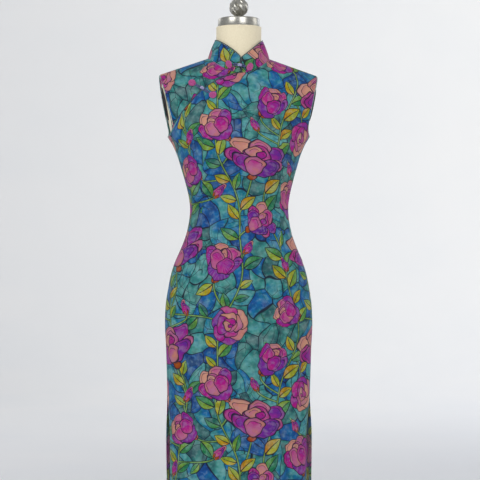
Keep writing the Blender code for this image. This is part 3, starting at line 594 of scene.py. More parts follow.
def flat_coordinates(grid, centre, jumps):
    """u at the left and at the right of every cell, and v of every point."""
    across = np.linalg.norm(np.diff(grid, axis=1), axis=2)
    cells = across.shape[1]
    left, right = np.zeros_like(across), np.zeros_like(across)
    place = np.zeros(len(grid))
    for j in range(centre, cells):
        place = place + jumps.get(j, 0.0)
        left[:, j] = place
        place = place + across[:, j]
        right[:, j] = place
    place = np.zeros(len(grid))
    for j in range(centre - 1, -1, -1):
        right[:, j] = place
        place = place - across[:, j]
        left[:, j] = place
        place = place - jumps.get(j, 0.0)
    u_point = np.concatenate([left, right[:, -1:]], axis=1)
    up = np.linalg.norm(np.diff(grid, axis=0), axis=2)
    rise = np.sqrt(np.maximum(up**2 - np.diff(u_point, axis=0) ** 2, (up * 0.3) ** 2))
    v_point = np.concatenate([np.zeros((1, grid.shape[1])), np.cumsum(rise, axis=0)])
    return left, right, v_point


def cell_corners(left, right, v):
    """(u, v) at the four corners of every cell."""
    low_left = np.stack([left[:-1], v[:-1, :-1]], axis=-1)
    low_right = np.stack([right[:-1], v[:-1, 1:]], axis=-1)
    high_right = np.stack([right[1:], v[1:, 1:]], axis=-1)
    high_left = np.stack([left[1:], v[1:, :-1]], axis=-1)
    return np.stack([low_left, low_right, high_right, high_left], axis=2).reshape(-1, 4, 2)


print("a dart moves the front's print by up to", DART_TAKES["front"] * 1000, "mm")

# %% [markdown]
# ### Where each face lies in its motifs
#
# Each face keeps where it lies in the frames of its nearest flower, leaf and stem. The
# paint below draws every petal from that, with no picture.

# %% Nearest flower, leaf and stem
FACES_AT_A_TIME = 8000  # keeps the tables of distances small
SEED_STEP = 1.7  # between the noises of two flowers


def in_frame(corners, spot, turn, size):
    """Corners measured in a motif's own frame."""
    away = corners - spot[:, None, :]
    x, y = turned_back(away[..., 0], away[..., 1], turn[:, None])
    return x / size[0][:, None], y / size[1][:, None]


def nearest_flower(corners):
    spots, rows = repeated(flower_rows)
    middle = corners.mean(axis=1)
    apart = np.linalg.norm(middle[:, None, :] - spots[None], axis=2) / rows[:, 2]
    pick = np.argmin(apart, axis=1)
    radius, kind, shift, breadth = rows[pick][:, (2, 4, 5, 6)].T
    size = (radius * breadth, radius / breadth)
    x, y = in_frame(corners, spots[pick], np.radians(rows[pick, 3]), size)
    seed = np.broadcast_to((pick % len(FLOWERS))[:, None] * SEED_STEP, x.shape)
    look = np.stack([kind, shift, np.zeros(len(pick))], axis=1)
    return np.stack([x, y, seed], axis=-1), np.repeat(look[:, None, :], 4, axis=1)


def nearest_leaf(corners):
    spots, rows = repeated(np.array(leaves))
    keep = np.all((spots > -0.05) & (spots < REPEAT + 0.05), axis=1)
    spots, rows = spots[keep], rows[keep]
    pick = np.zeros(len(corners), int)
    for start in range(0, len(corners), FACES_AT_A_TIME):
        some = slice(start, start + FACES_AT_A_TIME)
        away = corners[some].mean(axis=1)[:, None, :] - spots[None]
        p, q = turned_back(away[..., 0], away[..., 1], rows[:, 2])
        pick[some] = np.argmin((p / rows[:, 3]) ** 2 + (q / rows[:, 4]) ** 2, axis=1)
    size = (rows[pick, 3], rows[pick, 4])
    p, q = in_frame(corners, spots[pick], rows[pick, 2], size)
    return np.stack([p, q, np.broadcast_to(rows[pick, 5][:, None], p.shape)], axis=-1)


stem_points = wrapped(np.concatenate(vines + stems))
stem_ahead = [np.gradient(path, axis=0) for path in vines + stems]
stem_ahead = np.tile(unit(np.concatenate(stem_ahead)), (9, 1))
stem_tree = KDTree(len(stem_points))
for i, spot in enumerate(stem_points):
    stem_tree.insert((spot[0], spot[1], 0.0), i)
stem_tree.balance()


def nearest_stem(corners):
    """Signed distance from the nearest stem's line, in millimetres."""
    pick = [stem_tree.find((u, v, 0.0))[1] for u, v in corners.mean(axis=1)]
    away = corners - stem_points[pick][:, None, :]
    ahead = stem_ahead[pick][:, None, :]
    return (away[..., 0] * ahead[..., 1] - away[..., 1] * ahead[..., 0]) * 1000


def wrap_cells(corners):
    """The same corners, each face moved to the repeat round the chart's origin."""
    home = np.floor(corners.mean(axis=1) / REPEAT) * REPEAT
    return corners - home[:, None, :]


print(len(stem_points) // 9, "points along the stems")

# %% [markdown]
# ## A thin closed shell
#
# Every sheet of cloth is a thin closed shell: its outer grid, the same grid moved in
# along the normals, and a rim. The rim and the inside take their print from the faces
# beside them. A Solidify modifier would lose track of which cell those are.

# %% The cloth shell
CLOTH = 0.0008
SHARP_FOLD = 50  # degrees


def put_in_scene(name, data):
    """A new object for a mesh, a light or a camera."""
    made = bpy.data.objects.new(name, data)
    bpy.context.scene.collection.objects.link(made)
    return made


def triangle_area(grid):
    a, b, c, d = grid[:-1, :-1], grid[:-1, 1:], grid[1:, 1:], grid[1:, :-1]
    one = np.linalg.norm(np.cross(b - a, c - a), axis=-1)
    two = np.linalg.norm(np.cross(c - a, d - a), axis=-1)
    return float((one + two).sum() / 2)


def shell_faces(rows, columns):
    """Faces, and the cell and corner that each of their corners takes its print from."""
    index = np.arange(rows * columns).reshape(rows, columns)
    cell = np.arange((rows - 1) * (columns - 1)).reshape(rows - 1, columns - 1)
    quad = np.stack([index[:-1, :-1], index[:-1, 1:], index[1:, 1:], index[1:, :-1]], axis=-1)
    quad, flat = quad.reshape(-1, 4), cell.reshape(-1)
    under = rows * columns
    faces = [quad, quad[:, ::-1] + under]
    cells = [flat, flat]
    order = [np.tile((0, 1, 2, 3), (len(quad), 1)), np.tile((3, 2, 1, 0), (len(quad), 1))]
    sides = ((cell[0], 0, 1), (cell[:, -1], 1, 2), (cell[-1], 2, 3), (cell[:, 0], 3, 0))
    for border, first, second in sides:
        a, b = quad[border, first], quad[border, second]
        faces.append(np.stack([b, a, a + under, b + under], axis=1))
        cells.append(border)
        order.append(np.tile((second, first, first, second), (len(border), 1)))
    inside = np.zeros(sum(len(f) for f in faces), int)
    inside[len(quad) : 2 * len(quad)] = 1
    return np.concatenate(faces), np.concatenate(cells), np.concatenate(order), inside


def cloth_shell(name, outer, face, corners, thickness=CLOTH, seams=()):
    """A shell with the print's attributes. seams are edges whose wall stays square."""
    normal = outward(outer, face)
    for edge in seams:
        square = normal[edge].copy()
        square[..., 1] = 0.0
        normal[edge] = unit(square)
    points = np.concatenate([outer.reshape(-1, 3), (outer - normal * thickness).reshape(-1, 3)])
    faces, cells, order, inside = shell_faces(*outer.shape[:2])
    if face == "back":
        faces, order = faces[:, ::-1], order[:, ::-1]
    mesh = bpy.data.meshes.new(name)
    mesh.from_pydata(points.tolist(), [], faces.tolist())
    home = wrap_cells(corners)
    flower, look = nearest_flower(home)
    motifs = {"flower": flower, "flower_look": look, "leaf": nearest_leaf(home)}
    for key, values in motifs.items():
        made = mesh.attributes.new(key, "FLOAT_VECTOR", "CORNER")
        made.data.foreach_set("vector", values[cells[:, None], order].reshape(-1))
    made = mesh.attributes.new("stem", "FLOAT", "CORNER")
    made.data.foreach_set("value", nearest_stem(home)[cells[:, None], order].reshape(-1))
    layer = mesh.uv_layers.new(name="print")
    layer.data.foreach_set("uv", corners[cells[:, None], order].reshape(-1))
    mesh.polygons.foreach_set("material_index", inside)
    mesh.shade_smooth()
    mesh.set_sharp_from_angle(angle=math.radians(SHARP_FOLD))
    return put_in_scene(name, mesh)


print("a shell of 2 by 2 cells has", len(shell_faces(3, 3)[0]), "faces")

# %% [markdown]
# ## The front panel
#
# One piece from the hem to the neck, shaped by two waist darts. A sewn dart leaves a
# fine groove, and so does the turned-up hem. Creases are pressed in along the normals
# and fade out at the side seams.

# %% Press and curl the cloth
GROOVE, HEM_GROOVE = 0.0007, 0.00025
HEM_TURN = 0.024
CREASE_MARGIN = 0.006  # of c, beside a seam
# How a slit's free edges hang: column, sideways push, and how far in it reaches
SLIT_CURLS = {
    "front": ((0, 0.0045, 0.022), (-1, -0.006, 0.03)),
    "back": ((0, -0.0008, 0.008), (-1, 0.003, 0.009)),
}


def curled(grid, column, push, reach):
    """The grid with a slit's free edge pushed sideways."""
    steps = np.linalg.norm(np.diff(grid, axis=1), axis=2)
    far = np.concatenate([np.zeros((len(grid), 1)), np.cumsum(steps, axis=1)], axis=1)
    far = np.abs(far - far[:, column][:, None])
    share = np.clip(1 - far / reach, 0.0, 1.0) * slit_share(grid[:, column, 2])[:, None]
    return grid + (push * share)[..., None] * np.array((1.0, 0.0, 0.0))


def pressed(face, grid, c):
    """The grid with curled slits, creases, dart grooves and a hem line."""
    for column, push, reach in SLIT_CURLS[face]:
        grid = curled(grid, column, push, reach)
    z = grid[..., 2]
    deep = crease_depth(face, grid[..., 0], z) * ease((1 - np.abs(c)) / CREASE_MARGIN)
    for j in DART_COLUMNS:
        inside = (z[:, j] > DART_LOW_Z[face]) & (z[:, j] < DART_TOP_Z[face])
        wobble = 0.8 + 0.2 * np.sin(z[:, j] * 900)
        deep[:, j] += np.where(inside, GROOVE * wobble, 0.0)
    hem_row = round(HEM_TURN / (UNDERARM_Z - HEM_Z) * (SKIRT_ROWS - 1))
    deep[hem_row] += HEM_GROOVE
    return grid - outward(grid, face) * deep[..., None]


def dart_jumps(face, grid):
    return {j: DART_TAKES[face] * dart_share(face, grid[:, j, 2]) for j in DART_COLUMNS}


def flat_size(corners, grid, jumps):
    """Width, length and area of the cut, before it is sewn."""
    u, v = corners[..., 0], corners[..., 1]
    taken = sum(float(np.sum(w[:-1] * np.diff(grid[:, j, 2]))) for j, w in jumps.items())
    return float(np.ptp(u)), float(np.ptp(v)), triangle_area(grid) + taken


print("the hem is turned up", round(HEM_TURN * 1000), "mm")

# %% Make the front panel
SIDE_SEAMS = ((slice(0, SKIRT_ROWS), 0), (slice(0, SKIRT_ROWS), -1))
RIGHT_TIP, LEFT_TIP = (slice(-5, None), 0), (slice(-5, None), -1)
# Where on the print's chart each cut starts
PRINT_START = {
    "front_cloth": (0.118, 0.052),
    "back_cloth": (0.262, 0.231),
    "flap_cloth": (0.292, 0.404),
    "collar_cloth": (0.196, 0.388),
}
cuts = {}


def sewn(name, face, grid, centre, jumps, seams=(), rise=0.0, flip=1.0, thickness=CLOTH):
    """A sheet of printed cloth. rise is how far each column starts above the lowest."""
    left, right, up = flat_coordinates(grid, centre, jumps)
    flat = cell_corners(left, right, up + rise)
    cuts[name] = flat_size(flat, grid, jumps)
    print(name, "is cut from", [round(v, 3) for v in cuts[name]])
    printed = flat * np.array((flip, 1.0)) + np.array(PRINT_START[name])
    return cloth_shell(name, grid, face, printed, thickness, seams)


level_grid = np.broadcast_to(levels[:, None], (len(levels), 2 * HALF_COLUMNS + 1))
c_grid = panel_columns(levels)
front_grid = pressed("front", front_panel_point(c_grid, level_grid), c_grid)
front_jumps = dart_jumps("front", front_grid)
front_seams = (*SIDE_SEAMS, LEFT_TIP)
front_cloth = sewn("front_cloth", "front", front_grid, HALF_COLUMNS, front_jumps, front_seams)

# %% [markdown]
# ## The back panel
#
# It is cut like the front, with deeper darts and a higher neck. Its print starts
# elsewhere on the chart, so flowers break at the seams as on a real dress, and it is
# flipped, because the back is seen from behind.

# %% Make the back panel
back_grid = pressed("back", garment_point("back", c_grid, level_grid), c_grid)
back_jumps = dart_jumps("back", back_grid)
back_seams = (*SIDE_SEAMS, RIGHT_TIP, LEFT_TIP)
back_cloth = sewn("back_cloth", "back", back_grid, HALF_COLUMNS, back_jumps, back_seams, flip=-1.0)

# %% [markdown]
# ## The flap under the opening
#
# The wearer's right shoulder is a small piece of its own. It reaches 45 mm under the
# front's slanted edge and comes up to the garment's surface at the shoulder. A line
# painted on one big panel would cast no shadow.

# %% Make the flap
FLAP_COLUMNS, FLAP_COLUMNS_PAST, FLAP_ROWS = 48, 7, 44
flap_half = half_columns(FLAP_COLUMNS, np.array((1.5,)))[0]
past = np.linspace(0.0, FLAP_PAST_CENTRE, FLAP_COLUMNS_PAST)
flap_c = np.concatenate([-flap_half[:0:-1], past])
flap_low = np.maximum(level_below_opening(flap_c, FLAP_UNDERLAP), ARMHOLE_LEVELS[1])
flap_share = np.linspace(0.0, 1.0, FLAP_ROWS) ** 1.1
flap_level = flap_low + (3.0 - flap_low) * flap_share[:, None]
flap_across = np.broadcast_to(flap_c, flap_level.shape)
flap_grid = garment_point("front", flap_across, flap_level)
line_level = np.where(flap_across < -1e-6, level_below_opening(flap_across, 0.0), 3.0)
flap_sink = FLAP_SINK * (1 - ease((flap_level - line_level) / FLAP_RISE_LEVELS))
flap_grid = flap_grid - outward(flap_grid, "front") * flap_sink[..., None]
flap_rise = flap_grid[:1, :, 2] - flap_grid[..., 2].min()
flap_cloth = sewn("flap_cloth", "front", flap_grid, FLAP_COLUMNS, {}, (RIGHT_TIP,), flap_rise)

# %% [markdown]
# ## The stand collar
#
# It rises from the neckline as a stiffened band whose rounded front corners leave a
# small V. Its rows run from the panels' own neckline to a drawn top edge, so it sits on
# the seam all the way round, as a bent strip wouldn't.

# %% The collar's surface
PIPING_RADIUS = 0.001
CLEAR = 0.0003
COLLAR_CLOTH, COLLAR_SHELL = 0.002, 0.0016
COLLAR_SWELL = 0.0012
COLLAR_TOP_HALF_WIDTH = 0.0585
COLLAR_TOP_Y = (-0.0525, 0.063)
COLLAR_TOP_Z = {"front": 1.3785, "side": 1.4255, "back": 1.43}
COLLAR_NOTCH_BEND = {"right": 0.82, "left": 1.06}  # less is a fuller corner
COLLAR_FRONT_GAP = PIPING_RADIUS * 2 + CLEAR * 2


def neck_ring(turn):
    """The neckline. turn is 0 at the centre front, 1/4 at the left side, 1/2 at the back."""
    angle = turn % 1.0 * 2 * math.pi
    share = np.sin(angle)
    ahead = np.cos(angle)[..., None] > 0
    front = garment_point("front", share, 3.0)
    return np.where(ahead, front, garment_point("back", share, 3.0))


def collar_top_ring(turn):
    angle = turn * 2 * math.pi
    x = COLLAR_TOP_HALF_WIDTH * np.sin(angle)
    y = sum(COLLAR_TOP_Y) / 2 - (COLLAR_TOP_Y[1] - COLLAR_TOP_Y[0]) / 2 * np.cos(angle)
    bend = np.where(np.sin(angle) < 0, COLLAR_NOTCH_BEND["right"], COLLAR_NOTCH_BEND["left"])
    notch = 1 - np.abs(np.sin(angle)) ** bend
    side = COLLAR_TOP_Z["side"]
    z = side + (COLLAR_TOP_Z["front"] - side) * np.where(np.cos(angle) > 0, notch, 0.0)
    z = z + (COLLAR_TOP_Z["back"] - side) * np.clip(-np.cos(angle), 0.0, 1.0)
    return np.stack([x, y, z], axis=-1)


def collar_point(turn, share, out=0.0):
    """share is 0 at the neckline and 1 at the top edge."""
    low, high = neck_ring(turn), collar_top_ring(turn)
    low = low + unit(high - low) * CLEAR
    swell = COLLAR_SWELL * np.sin(share * math.pi)[..., None]
    away = unit((low + high) / 2 * np.array([1.0, 1.0, 0.0]))
    return low + (high - low) * share[..., None] + away * (swell + out)


def collar_turns(count):
    """Turns from one front edge round the back to the other."""
    gap = COLLAR_FRONT_GAP / (2 * math.pi * COLLAR_TOP_HALF_WIDTH)
    half = gap + (0.5 - gap) * np.linspace(0.0, 1.0, count) ** 1.15
    return np.concatenate([half, 1 - half[-2::-1]])


print("the V is", round(COLLAR_FRONT_GAP * 1000, 1), "mm wide at its foot")

# %% Make the collar
COLLAR_HALF_COLUMNS, COLLAR_ROWS = 56, 15
turn_grid, share_grid = np.meshgrid(
    collar_turns(COLLAR_HALF_COLUMNS), np.linspace(0, 1, COLLAR_ROWS)
)
collar_grid = collar_point(turn_grid, share_grid)
collar_cloth = sewn(
    "collar_cloth", "front", collar_grid, COLLAR_HALF_COLUMNS, {}, thickness=COLLAR_SHELL
)

# %% [markdown]
# ## A small kit for painting
#
# Materials are built from shader nodes. This kit adds one node at a time and links it,
# so the recipes below read from the pattern to the finish.

# %% The painting kit


def colour(code):
    """A colour code as the linear values that shaders use."""
    parts = [int(code[i : i + 2], 16) / 255 for i in (1, 3, 5)]
    return (*[v / 12.92 if v < 0.04045 else ((v + 0.055) / 1.055) ** 2.4 for v in parts], 1.0)


class Paint:
    def __init__(self, name, finish):
        self.material = bpy.data.materials.new(name)
        self.material.use_nodes = True
        self.tree = self.material.node_tree
        self.shader = self.tree.nodes["Principled BSDF"]
        for key, value in finish.items():
            self.shader.inputs[key].default_value = value

    def put(self, socket, value):
        if isinstance(value, bpy.types.NodeSocket):
            self.tree.links.new(value, socket)
        else:
            socket.default_value = value

    def add(self, kind, inputs, **settings):
        made = self.tree.nodes.new("ShaderNode" + kind)
        for key, value in settings.items():
            setattr(made, key, value)
        for key, value in inputs.items():
            self.put(made.inputs[key], value)
        return made

    def math(self, operation, a, b=0.0, c=0.0):
        return self.add("Math", {0: a, 1: b, 2: c}, operation=operation).outputs[0]

    def vector(self, operation, a, b=(0.0, 0.0, 0.0), scale=1.0):
        made = self.add("VectorMath", {0: a, 1: b}, operation=operation)
        if operation == "SCALE":
            self.put(made.inputs["Scale"], scale)
        return made.outputs["Value" if operation in ("LENGTH", "DOT_PRODUCT") else "Vector"]

    def span(self, value, low, high, to_low=0.0, to_high=1.0):
        """The value mapped from one span to another and held inside it."""
        inputs = {0: value, 1: low, 2: high, 3: to_low, 4: to_high}
        return self.add("MapRange", inputs).outputs[0]

    def mix(self, share, a, b):
        return self.add("Mix", {0: share, 6: a, 7: b}, data_type="RGBA").outputs[2]

    def mix_vector(self, share, a, b):
        return self.add("Mix", {0: share, 4: a, 5: b}, data_type="VECTOR").outputs[1]

    def ramp(self, value, stops):
        made = self.add("ValToRGB", {0: value})
        band = made.color_ramp.elements
        for i, (at, code) in enumerate(stops):
            stop = band[i] if i < 2 else band.new(at)
            stop.position = at
            stop.color = colour(code)
        return made.outputs[0]

    def tint(self, base, code, value, low, high, to_low, to_high):
        """The base mixed with a colour, by a share that follows the value."""
        return self.mix(self.span(value, low, high, to_low, to_high), base, colour(code))

    def noise(self, vector, scale, detail=2.0, output="Fac"):
        inputs = {"Vector": vector, "Scale": scale, "Detail": detail}
        return self.add("TexNoise", inputs).outputs[output]

    def panes(self, vector, scale, feature="DISTANCE_TO_EDGE"):
        """Flat cells, as the panes of a leaded window lie."""
        inputs = {"Vector": vector, "Scale": scale, "Randomness": 1.0}
        kind = {"voronoi_dimensions": "2D", "feature": feature}
        return self.add("TexVoronoi", inputs, **kind).outputs

    def sway(self, vector, scale, detail=0.0):
        """A vector that wanders round zero, to bend a pattern with."""
        drift = self.noise(vector, scale, detail, "Color")
        return self.vector("SUBTRACT", drift, (0.5, 0.5, 0.5))

    def lines_over(self, inside, own, covered):
        """A motif's own lines inside it, and the others outside."""
        kept = self.math("MULTIPLY", covered, self.math("SUBTRACT", 1.0, inside))
        return self.math("MULTIPLY_ADD", own, inside, kept)

    def attribute(self, name, output="Vector"):
        return self.add("Attribute", {}, attribute_name=name).outputs[output]

    def place(self):
        return self.add("TexCoord", {}).outputs["Object"]

    def split(self, vector):
        return self.add("SeparateXYZ", {0: vector}).outputs

    def join(self, x, y, z):
        return self.add("CombineXYZ", {0: x, 1: y, 2: z}).outputs[0]

    def bump(self, height, distance, strength=1.0, normal=None):
        inputs = {"Height": height, "Distance": distance, "Strength": strength}
        if normal is not None:
            inputs["Normal"] = normal
        return self.add("Bump", inputs).outputs[0]

    def finish(self, base, normal=None, roughness=None):
        self.put(self.shader.inputs["Base Color"], base)
        if normal is not None:
            self.put(self.shader.inputs["Normal"], normal)
        if roughness is not None:
            self.put(self.shader.inputs["Roughness"], roughness)
        return self.material


print("middle grey is", round(colour("#808080")[0], 3), "to a shader")

# %% [markdown]
# ## How the flowers are drawn
#
# Each kind of flower is a short list of petals, the back ones first. A petal is a turned
# ellipse with a dark line inside its edge, a tone from peach (0) to violet (0.9), and a
# shade from foot to tip. Overlapping petals give the panes of a stained-glass rose.
# Sepals have a tone past 1, which paints them brown.

# %% Petals
# distance from the heart, direction, half length round, half depth, tone
OPEN_RINGS = (
    (0.58, 20, 0.5, 0.42, 0.64), (0.55, 78, 0.54, 0.44, 0.18), (0.58, 140, 0.54, 0.42, 0.04),
    (0.57, 206, 0.52, 0.43, 0.36), (0.56, 266, 0.54, 0.42, 0.7), (0.56, 324, 0.46, 0.42, 0.52),
    (0.33, 46, 0.46, 0.34, 0.42), (0.35, 124, 0.46, 0.33, 0.24), (0.34, 205, 0.44, 0.34, 0.1),
    (0.31, 290, 0.48, 0.35, 0.56), (0.15, 70, 0.34, 0.24, 0.28), (0.17, 200, 0.3, 0.22, 0.46),
    (0.15, 318, 0.31, 0.22, 0.08), (0.02, 40, 0.16, 0.11, 0.5),
)
# x, y, turn, half width, half height, tone
CUP_PETALS = (
    (-0.13, -0.9, 30, 0.1, 0.24, 1.6), (0.13, -0.9, -30, 0.1, 0.24, 1.6),
    (-0.22, 0.5, 22, 0.48, 0.38, 0.05), (0.36, 0.44, -30, 0.42, 0.42, 0.26),
    (-0.56, 0.04, 26, 0.34, 0.56, 0.5), (0.04, -0.28, 4, 0.64, 0.66, 0.7),
    (0.62, 0.02, -28, 0.3, 0.52, 0.6), (0.04, 0.24, 0, 0.4, 0.42, 0.38),
    (-0.03, 0.32, 20, 0.22, 0.29, 0.1), (-0.24, 0.0, 24, 0.38, 0.48, 0.32),
    (0.26, -0.12, -28, 0.38, 0.48, 0.46),
)
LOOSE_PETALS = (
    (0.02, -0.84, 0, 0.18, 0.22, 1.6), (-0.48, 0.34, 48, 0.36, 0.5, 0.04),
    (0.52, 0.28, -52, 0.36, 0.5, 0.62), (0.02, 0.5, -6, 0.44, 0.34, 0.24),
    (-0.66, -0.08, 72, 0.3, 0.36, 0.44), (0.68, -0.14, -66, 0.28, 0.36, 0.34),
    (0.02, 0.18, 8, 0.42, 0.4, 0.4), (-0.1, 0.22, 40, 0.25, 0.3, 0.14),
    (0.1, 0.16, -30, 0.15, 0.24, 0.54), (-0.32, -0.32, 56, 0.34, 0.54, 0.58),
    (0.34, -0.34, -56, 0.34, 0.56, 0.7), (-0.02, -0.36, 10, 0.34, 0.4, 0.28),
)
BUD_PETALS = (
    (0.0, 0.1, 0, 0.34, 0.74, 0.2), (-0.16, -0.02, -10, 0.3, 0.66, 0.44),
    (0.18, -0.1, 14, 0.32, 0.62, 0.66), (0.0, -0.26, -4, 0.26, 0.5, 0.4),
    (-0.2, -0.66, 24, 0.12, 0.32, 1.6), (0.2, -0.66, -24, 0.12, 0.32, 1.6),
)


def ring_to_petal(distance, direction, half_round, half_deep, tone):
    angle = math.radians(direction)
    spot = (distance * math.cos(angle), distance * math.sin(angle))
    return (*spot, direction + 90, half_round, half_deep, tone)


OPEN_PETALS = [ring_to_petal(*ring) for ring in OPEN_RINGS]
print(len(OPEN_PETALS), len(CUP_PETALS), len(LOOSE_PETALS), len(BUD_PETALS), "petals")

# %% [markdown]
# ### The dyes of the motifs
#
# The colours come from short ramps: petals go from peach to violet, leaves from blue
# green to straw, and panes from teal to deep blue. Every motif adds its own colours and
# lines to those of the layers below it.

# %% Dyes, and the chain of petals
FLOWER_LINE = 0.025  # half of a line's width, in flower radii
ROLLED_EDGE = 0.14  # how far the lighter rolled rim of a petal reaches, in the same


def paint_petals(paint, spot, petals):
    """Tone, distance from the petal's edge, and place from its foot to its tip."""
    state = paint.join(-1.0, 0.0, 0.0)
    for x, y, turn, wide, tall, tone in petals:
        place = {
            "Vector": spot,
            "Location": (x, y, 0.0),
            "Rotation": (0.0, 0.0, math.radians(turn)),
            "Scale": (wide, tall, 1.0),
        }
        own = paint.add("Mapping", place, vector_type="TEXTURE").outputs[0]
        far = paint.vector("LENGTH", own)
        size = math.sqrt(wide * tall)
        left = paint.math("MULTIPLY_ADD", far, -size, size)
        petal = paint.join(tone, left, paint.split(own)[1])
        state = paint.mix_vector(paint.math("LESS_THAN", far, 1.0), state, petal)
    return state


FLOWER_STOPS = (
    (0.0, "#deae9b"), (0.13, "#cf968b"), (0.26, "#c37f9c"), (0.4, "#b94e90"),
    (0.54, "#9a4493"), (0.7, "#734296"), (0.88, "#523e88"), (0.99, "#a8561f"),
)
LEAF_STOPS = (
    (0.0, "#23605c"), (0.22, "#2f7f52"), (0.42, "#669a4c"),
    (0.62, "#a2b04c"), (0.82, "#c0b24e"), (1.0, "#c48b44"),
)
GROUND_STOPS = (
    (0.0, "#1c5156"), (0.14, "#2b726d"), (0.27, "#45918a"), (0.42, "#5c9fa2"),
    (0.54, "#2f7f94"), (0.67, "#216aa8"), (0.84, "#1b4a97"), (1.0, "#18387c"),
)
LINE = "#0c0e26"
print("the dyes take", len(FLOWER_STOPS) + len(LEAF_STOPS) + len(GROUND_STOPS), "colours")

# %% Paint the ground and the stems
PANE_SCALE, PANE_BEND = 22.5, 0.074  # panes in a metre, and how far they bend, in metres
VEIN_SCALE = 41.0
STEM_HALF, STEM_EDGE = 1.5, 2.8  # millimetres from a stem's middle


def paint_ground(paint, spot):
    """Panes of teal and blue with uneven colour, and the dark lines between them."""
    sway = paint.vector("SCALE", paint.sway(spot, 15.0), scale=PANE_BEND)
    bent = paint.vector("ADD", spot, sway)
    wash = paint.math("SUBTRACT", paint.noise(spot, 34.0, 2.0), 0.5)
    tone = paint.split(paint.panes(bent, PANE_SCALE, "F1")["Color"])[0]
    tone = paint.math("ADD", wash, paint.math("MULTIPLY_ADD", tone, 0.9, 0.02))
    edge = paint.panes(bent, PANE_SCALE)["Distance"]
    line = paint.span(edge, 0.018, 0.034, 1.0, 0.0)
    some = paint.span(paint.noise(spot, 11.0, 0.0), 0.5, 0.56)
    vein = paint.span(paint.panes(bent, VEIN_SCALE)["Distance"], 0.018, 0.038, 0.85, 0.0)
    line = paint.math("MAXIMUM", line, paint.math("MULTIPLY", vein, some))
    base = paint.ramp(tone, GROUND_STOPS)
    base = paint.tint(base, "#102a4c", edge, 0.03, 0.12, 0.18, 0.0)
    return paint.tint(base, "#a9cfc9", edge, 0.08, 0.3, 0.0, 0.12), line


def paint_stems(paint, base, line):
    """Pale green stems between two dark lines."""
    far = paint.math("ABSOLUTE", paint.attribute("stem", "Fac"))
    green = paint.mix(paint.noise(paint.place(), 30.0), colour("#96ae4c"), colour("#4f8a58"))
    inside = paint.math("LESS_THAN", far, STEM_HALF)
    near = paint.math("LESS_THAN", far, STEM_EDGE)
    rim = paint.math("SUBTRACT", near, inside)
    return paint.mix(inside, base, green), paint.lines_over(near, rim, line)


print("panes are about", round(1000 / PANE_SCALE), "mm across")

# %% Paint the leaves and the flowers


def paint_leaves(paint, base, line):
    """Pointed leaves in two tones, with a midrib and side veins."""
    p, q, tone = paint.split(paint.attribute("leaf"))
    arch = paint.math("SUBTRACT", 1.0, paint.math("MULTIPLY", p, p))
    q = paint.math("MULTIPLY_ADD", arch, -0.18, q)
    wide = paint.math("MULTIPLY", arch, paint.math("MULTIPLY_ADD", p, -0.25, 1.0))
    side = paint.math("ABSOLUTE", q)
    left = paint.math("SUBTRACT", wide, side)
    inside = paint.math("GREATER_THAN", left, 0.0)
    half = paint.math("GREATER_THAN", q, 0.0)
    tone = paint.math("MULTIPLY_ADD", tone, 0.75, paint.math("MULTIPLY", half, 0.22))
    tone = paint.math("MULTIPLY_ADD", p, -0.1, tone)
    green = paint.ramp(tone, LEAF_STOPS)
    rim = paint.span(left, 0.12, 0.17, 1.0, 0.0)
    rib = paint.math("LESS_THAN", side, paint.math("MULTIPLY_ADD", p, -0.04, 0.07))
    rib = paint.math("MULTIPLY", rib, paint.math("LESS_THAN", p, 0.72))
    slant = paint.math("MULTIPLY_ADD", side, -0.75, p)
    vein = paint.math("PINGPONG", slant, 0.17)
    vein = paint.math("MULTIPLY", paint.math("LESS_THAN", vein, 0.018), 0.35)
    own = paint.math("MAXIMUM", paint.math("MAXIMUM", rim, rib), vein)
    return paint.mix(inside, base, green), paint.lines_over(inside, own, line)


